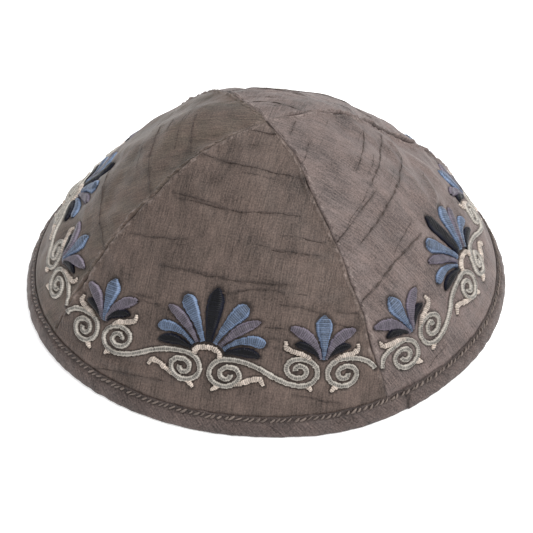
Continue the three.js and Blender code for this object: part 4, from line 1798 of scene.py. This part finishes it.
    def _scroll(self, cord: Array, accents: list[Array]) -> list[Stroke]:
        """The strokes of a scroll.

        Args:
            cord: Path of the scroll's own cord.
            accents: Paths of its pale accents, which are sewn after it.

        Returns:
            The strokes, in the order in which they are sewn.
        """
        relief, fullness = self.scroll_relief, self.scroll_fullness
        fuller = np.array([1.0, 1.0, self.pale_fullness])
        strokes = [Stroke(Thread.SCROLL, cord, relief, fullness, 0)]
        for number, path in enumerate(accents, start=1):
            strokes.append(Stroke(Thread.PALE, path * fuller, relief, fullness, number))
        return strokes

    def _wave_scroll(self, sprig: Frame) -> list[Stroke]:
        """The scroll from the palmette's volute to the near volute of the sprig beside it.

        Args:
            sprig: The sprig's frame.

        Returns:
            The strokes of the scroll.
        """
        first = Volute(self.palmette, 1, 90)
        second = Volute(sprig, -1, 270)
        outward = first.path(self.scroll_width)[::-1]
        inward = second.path(self.scroll_width)
        radius = float(self.crown.radius_at(np.array(self.palmette.garland)))
        span = sprig.azimuth * radius - 2 * first.place
        leave = np.array([span * self.scroll_leave, 0.0])
        arrive = np.array([math.cos(sprig.lean), -math.sin(sprig.lean)]) * span * self.scroll_arrive
        between = self._bridge(outward[-1], leave, inward[0], arrive)
        scroll = np.concatenate([outward, between, inward])
        width = self.accent_width
        accents = [first.accent(self.tail, width), first.accent(self.spur, width)]
        accents += [second.accent(self.leaf, width, -1), second.accent(self.spur, width, -1)]
        return self._scroll(scroll, accents)

    def _end_scroll(self, sprig: Frame) -> list[Stroke]:
        """The scroll of the sprig's far volute, whose arm comes down to the seam.

        Args:
            sprig: The sprig's frame.

        Returns:
            The strokes of the scroll.
        """
        volute = Volute(sprig, 1, 90)
        wound = volute.path(self.scroll_width)
        radius = float(self.crown.radius_at(np.array(sprig.garland)))
        beside = (self.seam_clearance + self.scroll_width / 2) / radius
        foot_lift = sprig.garland - sprig.drop - volute.radius / 2
        foot = np.array([HALF_PANEL - beside, foot_lift, self.scroll_width])
        rise = np.array([-0.3, 0.8]) * volute.radius
        over = np.array([-math.cos(sprig.lean), math.sin(sprig.lean)]) * 0.9 * volute.radius
        arm = np.concatenate([foot[None], self._bridge(foot, rise, wound[0], over), wound])
        accents = [volute.accent(self.leaf, self.accent_width), volute.accent(self.spur, self.accent_width)]
        return self._scroll(arm, accents)


@dataclass(frozen=True)
class Stitch:
    """One stitch of the binding, by the azimuth of its middle and the lifts of its ends.

    Its number gives it a tone of its own. slant is how far its ends lie apart along the rim,
    base the offset of the strip's surface, and facing 1 outside the cap and -1 inside.
    """

    number: int
    azimuth: float
    slant: float
    lifts: tuple[float, float]
    width: float
    base: float
    facing: int


@dataclass
class RimBinding:
    """The folded strip round the rim, with the slanted stitches that hold it.

    Its free end lies over the other at lap_azimuth. A crease gives an azimuth in degrees, a
    depth, a shade and how far it leans along the rim for each millimetre up. shaded gives the
    lift, the width and the shade of the stitched channel, the upper edge and the lower fold.
    section gives lifts and offsets round the strip, from its upper edge down the outside.
    """

    crown: Crown
    stations: int = 1080
    lap_azimuth: float = math.radians(50)
    lap_length: float = 16.0
    lap_height: float = 0.45
    lap_step: float = 0.25
    rounding: float = 1.1
    wrinkle: float = 0.09
    edge_lift: float = 4.9
    edge_waver: float = 0.12
    stitch_count: int = 246
    stitch_lifts: tuple[float, float] = (5.5, 6.85)
    stitch_slant: float = 1.95
    stitch_width: float = 0.8
    stitch_base: float = 0.5
    azimuth_stray: float = 0.12
    lift_stray: float = 0.16
    slant_shares: tuple[float, float] = (0.7, 1.25)
    width_shares: tuple[float, float] = (0.65, 1.15)
    inner_length: float = 2.4
    inner_lift: float = 6.0
    inner_width: float = 0.5
    inner_base: float = -2.4
    thread_rings: int = 8
    thread_sides: int = 8
    thread_rise: float = 0.34
    thread_rise_width: float = 0.66
    thread_flatness: float = 0.8
    least_outside: float = 0.2
    crease_width: float = 0.75
    crease_middle: float = 3.5
    crease_top: float = 5.2
    creases: Rows = (
        (50.2, 0.12, 1.0, 0.35), (81.8, 0.22, 0.5, 0.9), (94.5, 0.2, 0.45, 0.5),
        (-21, 0.16, 0.3, 1.2), (-14.5, 0.12, 0.2, -0.8), (-38, 0.16, 0.3, 1.1),
        (12, 0.1, 0.2, 1.3), (33, 0.12, 0.2, -1), (118, 0.2, 0.35, 0.8),
        (171, 0.16, 0.3, -0.9), (236, 0.2, 0.35, 1),
    )
    shaded: Rows = ((6.15, 0.85, 1.0), (7.35, 0.25, 0.6), (0.0, 0.5, 0.7))
    section: Rows = (
        (7.05, -0.05), (7.35, 0.25), (7.25, 0.58), (6.9, 0.62), (6.2, 0.5), (5.5, 0.56),
        (5.0, 0.9), (4.6, 1.16), (4.1, 1.3), (3.3, 1.36), (2.4, 1.36), (1.6, 1.32),
        (1.0, 1.22), (0.5, 0.98), (0.18, 0.6), (0.0, 0.1), (0.0, -1.5), (0.18, -2.0),
        (0.5, -2.38), (1.0, -2.6), (2.4, -2.7), (4.4, -2.7), (5.6, -2.56), (6.2, -2.5),
        (6.8, -2.42), (7.2, -2.1), (7.2, -1.7), (6.9, -1.46), (1.0, -1.46), (1.0, -0.05),
    )

    def build(self, finishes: list[Material]) -> bpy.types.Object:
        """Makes the strip and its stitches.

        Args:
            finishes: Materials of the strip and of the stitching thread.

        Returns:
            The binding's object.
        """
        shape = Shape()
        self._strip(shape)
        for stitch in self._stitches():
            self._sew(shape, stitch)
        return shape.build("dressed_rim_binding", finishes)

    def _on_cap(self, azimuth: Array, lift: Array, offset: Array) -> Array:
        """Points all round the cap.

        Args:
            azimuth: Azimuths from the front panel's middle.
            lift: Lifts.
            offset: Distances outside the panels' main shape.

        Returns:
            The points, with x, y and z along the last axis.
        """
        index = np.round(azimuth / QUARTER).astype(int)
        aside = azimuth - index * QUARTER
        points = np.zeros((*azimuth.shape, 3))
        for side in Side:
            chosen = index % len(Side) == side.value
            points[chosen] = self.crown.point(side, aside[chosen], lift[chosen], offset[chosen])
        return points

    def _lap(self, azimuth: Array) -> Array:
        """How far the strip's free end raises it over the other end."""
        run = np.mod(azimuth - self.lap_azimuth, 2 * math.pi) * self.crown.radius
        return np.where(run > self.lap_length, 0.0, self.lap_height * (1 - run / self.lap_length))

    def _creased(self, arc: Array, lift: Array) -> tuple[Array, Array]:
        """The strip's creases.

        Args:
            arc: Places along the rim.
            lift: Lifts.

        Returns:
            The depth of the creases and their shade.
        """
        girth = 2 * math.pi * self.crown.radius
        depths = np.zeros(arc.shape)
        shades = np.zeros(arc.shape)
        for degrees, depth, shade, slant in self.creases:
            middle = math.radians(degrees) * self.crown.radius
            away = arc - middle - slant * (lift - self.crease_middle)
            away = np.mod(away + girth / 2, girth) - girth / 2
            crease = bell(away, self.crease_width) * (lift < self.crease_top)
            depths = depths + depth * crease
            shades = np.maximum(shades, shade * crease)
        return depths, shades

    def _strip(self, shape: Shape) -> None:
        """Adds the folded strip as a closed ring.

        Args:
            shape: Where the strip is added.
        """
        profile = np.array(self.section)
        even = np.linspace(0, 2 * math.pi, self.stations, endpoint=False)
        last = 2 * math.pi - self.lap_step / self.crown.radius
        azimuth = np.sort(np.append(even, [last])) + self.lap_azimuth
        around = np.repeat(azimuth[:, None], len(profile), axis=1)
        lift = np.repeat(profile[None, :, 0], len(azimuth), axis=0)
        offset = np.repeat(profile[None, :, 1], len(azimuth), axis=0)
        arc = around * self.crown.radius
        outside = offset > self.least_outside
        depth, crease_shade = self._creased(arc, lift)
        wrinkles = Ripple(Seed.BINDING_WRINKLES, 2.6, 12.0).at(arc, lift)
        offset = offset + outside * (self._lap(around) + self.wrinkle * wrinkles - depth)
        upper = outside & (lift > self.edge_lift)
        lift = lift + upper * self.edge_waver * Ripple(Seed.BINDING_EDGE, 3.0, 16.0).at(arc, 0 * arc)
        points = self._on_cap(around, np.clip(lift, 0.0, 8.0), offset)
        low = profile[:, 0] <= self.rounding
        blend = np.clip(profile[low, 0] / self.rounding, 0, 1)
        points[:, low, 2] = blend * points[:, low, 2] + (1 - blend) * profile[low, 0]
        shade = sum(share * bell(lift - place, width) for place, width, share in self.shaded)
        shade = np.maximum(shade, outside * crease_shade)
        first = shape.points(points, np.clip(shade, 0, 1) * (offset > -0.5))
        rings, count = points.shape[:2]
        index = first + np.arange(rings * count).reshape(rings, count)
        ahead = np.roll(index, -1, axis=0)
        quads = np.stack([index, ahead, np.roll(ahead, -1, 1), np.roll(index, -1, 1)], axis=-1)
        here = np.append(azimuth, self.lap_azimuth + 2 * math.pi) * self.crown.radius
        along = np.stack([here[:-1], here[1:], here[1:], here[:-1]], axis=-1)
        girth = np.concatenate([[0], np.cumsum(np.hypot(*np.diff(profile, axis=0).T))])
        onward = np.append(girth[1:], girth[-1] + 1)
        across = np.stack([girth, girth, onward, onward], axis=-1)
        along = np.repeat(along[:, None], count, axis=1)
        across = np.repeat(across[None], rings, axis=0)
        places = np.stack([along, across], axis=-1).reshape(-1, 4, 2)
        shape.faces(quads.reshape(-1, 4)[:, ::-1], places[:, ::-1])

    def _stitches(self) -> list[Stitch]:
        """Lays out the stitches.

        Returns:
            The slanted stitches outside, and small straight ones inside behind every other.
        """
        draw = np.random.default_rng(Seed.BINDING_STITCHES)
        pitch = 2 * math.pi / self.stitch_count
        inner_lifts = (self.inner_lift, self.inner_lift)
        inner = self.inner_length, inner_lifts, self.inner_width, self.inner_base, -1
        stitches = []
        for number in range(self.stitch_count):
            azimuth = self.lap_azimuth + (number + 0.5) * pitch
            azimuth += draw.normal(0, self.azimuth_stray) * pitch
            width = self.stitch_width * draw.uniform(*self.width_shares)
            slant = self.stitch_slant * draw.uniform(*self.slant_shares)
            low, high = (lift + draw.normal(0, self.lift_stray) for lift in self.stitch_lifts)
            base = self.stitch_base + float(self._lap(np.array(azimuth)))
            stitches.append(Stitch(number, azimuth, slant, (low, high), width, base, 1))
            if number % 2:
                stitches.append(Stitch(number, azimuth, *inner))
        return stitches

    def _sew(self, shape: Shape, stitch: Stitch) -> None:
        """Adds one stitch as a plump bent thread whose ends go into the cloth.

        Args:
            shape: Where the stitch is added.
            stitch: The stitch.
        """
        share = np.linspace(0, 1, self.thread_rings)
        around = np.linspace(0, 2 * math.pi, self.thread_sides + 1)[:-1]
        run = (share - 0.5) * stitch.slant
        lift = np.interp(share, (0, 1), stitch.lifts)
        direction = np.array([stitch.slant, stitch.lifts[1] - stitch.lifts[0]])
        direction /= np.linalg.norm(direction)
        taper = np.sin(math.pi * np.linspace(0.06, 0.94, self.thread_rings)) ** 0.5
        plump = stitch.width / 2 * taper
        bend = np.sin(math.pi * share) ** 0.7
        rise = stitch.facing * self.thread_rise * bend * stitch.width / self.thread_rise_width
        side = plump[:, None] * np.cos(around)
        azimuths = stitch.azimuth + (run[:, None] - direction[1] * side) / self.crown.radius
        lifts = lift[:, None] + direction[0] * side
        offsets = (stitch.base + rise)[:, None]
        flat = stitch.facing * self.thread_flatness * plump[:, None]
        offsets = offsets + flat * np.sin(around)
        points = self._on_cap(azimuths, lifts, offsets)
        ends = np.cos(around)[None] * 0.7
        places = np.stack([stitch.number + 0.5 + 0 * side, ends + 0 * side], axis=-1)
        if stitch.facing > 0:
            points, places = points[:, ::-1], places[:, ::-1]
        shape.tube(points, places, 1)


@dataclass(frozen=True)
class Lamp:
    """A soft square light that faces the cap."""

    name: str
    place: tuple[float, float, float]
    size: float
    power: float

    def build(self) -> None:
        """Makes the light."""
        light = bpy.data.lights.new(self.name, "AREA")
        light.shape = "SQUARE"
        light.size = self.size
        light.energy = self.power
        holder = bpy.data.objects.new(self.name, light)
        holder.location = self.place
        holder.rotation_euler = (-Vector(self.place)).to_track_quat("-Z", "Y").to_euler()
        bpy.context.scene.collection.objects.link(holder)


@dataclass
class Studio:
    """A pale floor, soft light and the photograph's camera.

    The camera stands at a distance from the point it aims at, which lies a little aside and up.
    """

    elevation: float = math.radians(39.046)
    azimuth: float = math.radians(16.1)
    distance: float = 0.9689
    aside: float = -0.0001
    aim: float = 0.00459
    focal_pixels: float = 2577.5
    frame_pixels: float = 533.0
    sensor: float = 36.0
    floor_size: float = 6.0
    world_strength: float = 0.66
    floor_tint: Colour = (0.93, 0.93, 0.93)
    floor_glow: float = 0.45
    floor_roughness: float = 0.9
    floor_specular: float = 0.1
    lamps: tuple[Lamp, ...] = (
        Lamp("key", (0.85, 0.15, 1.6), 0.9, 26.5),
        Lamp("fill", (-0.6, -1.3, 0.9), 1.2, 2.5),
        Lamp("back", (-0.3, 1.2, 1.0), 1.0, 5.0),
    )

    def build(self) -> None:
        """Makes the floor, the lights, the world and the camera."""
        self._floor()
        self._world()
        for lamp in self.lamps:
            lamp.build()
        self._camera()
        view = bpy.context.scene.view_settings
        view.view_transform = "Standard"
        view.look = "None"

    def _floor(self) -> None:
        """Makes the floor, which isn't part of the cap."""
        half = self.floor_size / 2
        corners = [(-half, -half, 0), (half, -half, 0), (half, half, 0), (-half, half, 0)]
        mesh = bpy.data.meshes.new("floor")
        mesh.from_pydata(corners, [], [(0, 1, 2, 3)])
        roughness, specular = self.floor_roughness, self.floor_specular
        material, shader, _ = new_material("floor_paper", roughness, specular)
        shader.inputs["Base Color"].default_value = (*self.floor_tint, 1.0)
        shader.inputs["Emission Color"].default_value = (1.0, 1.0, 1.0, 1.0)
        shader.inputs["Emission Strength"].default_value = self.floor_glow
        mesh.materials.append(material)
        floor = bpy.data.objects.new("floor", mesh)
        bpy.context.scene.collection.objects.link(floor)
        floor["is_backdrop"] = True

    def _world(self) -> None:
        """Sets an even white surrounding light."""
        world = bpy.data.worlds.new("studio")
        bpy.context.scene.world = world
        world.use_nodes = True
        background = world.node_tree.nodes["Background"]
        background.inputs["Color"].default_value = (1.0, 1.0, 1.0, 1.0)
        background.inputs["Strength"].default_value = self.world_strength

    def _camera(self) -> None:
        """Places the camera at the photograph's angle."""
        level = math.cos(self.elevation)
        ahead = math.sin(self.azimuth) * level, -math.cos(self.azimuth) * level
        back = Vector((*ahead, math.sin(self.elevation)))
        right = Vector((math.cos(self.azimuth), math.sin(self.azimuth), 0.0))
        up = back.cross(right)
        target = right * self.aside + Vector((0.0, 0.0, self.aim))
        lens = bpy.data.cameras.new("camera")
        lens.sensor_width = self.sensor
        lens.lens = self.focal_pixels / self.frame_pixels * self.sensor
        camera = bpy.data.objects.new("camera", lens)
        turn = Matrix((right, up, back)).transposed().to_4x4()
        camera.matrix_world = Matrix.Translation(target + back * self.distance) @ turn
        bpy.context.scene.collection.objects.link(camera)
        bpy.context.scene.camera = camera


@dataclass
class Skullcap:
    """The whole cap: four cloth panels, the binding and the embroidered border.

    Each panel has a warm tint and a cool one, between which its silk varies.
    """

    crown: Crown = field(default_factory=Crown)
    # One silk: the right and back panels' lighter tints and the front and left panels' darker ones are
    # painted light and shade.
    panel_tints: dict[Side, tuple[Colour, Colour]] = field(
        default_factory=lambda: {
            Side.FRONT: (screen(88, 75, 69), screen(84, 72, 66)),
            Side.RIGHT: (screen(102, 89, 85), screen(98, 87, 84)),
            Side.BACK: (screen(100, 87, 83), screen(97, 86, 83)),
            Side.LEFT: (screen(85, 72, 65), screen(80, 70, 62)),
        }
    )
    threads: dict[Thread, ThreadFinish] = field(
        default_factory=lambda: {
            Thread.NAVY: ThreadFinish("thread_navy", screen(10, 11, 21), 1.6, 0.55, 0.8, specular=0.18),
            Thread.BLUE: ThreadFinish("thread_blue", screen(94, 109, 133), 1.0, 0.6, 0.75),
            Thread.MAUVE: ThreadFinish("thread_mauve", screen(100, 93, 104), 0.9, 0.6, 0.7),
            Thread.SCROLL: ThreadFinish("thread_scroll", screen(145, 140, 133), 0.85, 0.35, 0.8),
            Thread.PALE: ThreadFinish("thread_pale", screen(186, 173, 162), 0.3, 0.4, 1.0),
        }
    )
    # The slub threads' tint is darker than the silk's: painted shade along the slubs.
    slub_tint: Colour = screen(64, 53, 48)
    lining_tint: Colour = screen(74, 66, 62)
    strip_tint: Colour = screen(86, 74, 70)
    cool_strip_tint: Colour = screen(78, 68, 65)
    stitching_tint: Colour = screen(108, 96, 89)

    def build(self) -> None:
        """Builds the pieces in order and puts each in the place of its solid."""
        needle = Embroidery(self.crown)
        plain = self.lining_tint
        lining = SilkFinish("lining", plain, plain, streaks=0.4, grain=0.6, blotches=0.5).material()
        dark = self.slub_tint
        slub = SilkFinish("slub_thread", dark, dark, grain=2.2, stitch_shade=0.0).material()
        for side in Side:
            silk = SilkFinish(f"raw_silk_{side.label}", *self.panel_tints[side]).material()
            panel = ClothPanel(self.crown, side).build(needle, [silk, lining, slub])
            self._take_place(panel, f"panel_{side.label}", "panel_cloth")
        tints = self.strip_tint, self.cool_strip_tint
        strip = SilkFinish("binding_silk", *tints, grain=1.9, turn=math.radians(45)).material()
        sewing = ThreadFinish("binding_thread", self.stitching_tint, edge_light=0.0).material()
        binding = RimBinding(self.crown).build([strip, sewing])
        self._take_place(binding, "rim_binding", "binding_cloth")
        threads = {thread: finish.material() for thread, finish in self.threads.items()}
        slots = {"palmette": "petal_thread", "sprig": "petal_thread", "arch": "pale_thread"}
        for side in Side:
            for piece in needle.build(side, threads):
                node = piece.name.removeprefix("sewn_")
                kind = node.split("_")[0]
                self._take_place(piece, node, slots.get(kind, "scroll_thread"))

    def _take_place(self, piece: bpy.types.Object, node: str, slot: str) -> None:
        """Puts a piece in the place of its solid, on the cap's only body.

        Args:
            piece: The piece.
            node: The solid's node.
            slot: The slot of the piece's finish, which is not used.
        """
        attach(piece, "root")
        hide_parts(node)


def corners(box: object) -> list[list[float]]:
    """A box as plain lists of numbers."""
    return [[round(float(value), 6) for value in corner] for corner in box]


def main() -> None:
    """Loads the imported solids, dresses them and sets up the studio."""
    logging.basicConfig(level=logging.INFO, format="%(name)s: %(message)s")
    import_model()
    solid_box = corners(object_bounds())
    Skullcap().build()
    Studio().build()
    sizes = {"cad": solid_box, "visual": corners(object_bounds())}
    log.info("boxes in metres: %s", sizes)


if __name__ == "__main__":
    main()
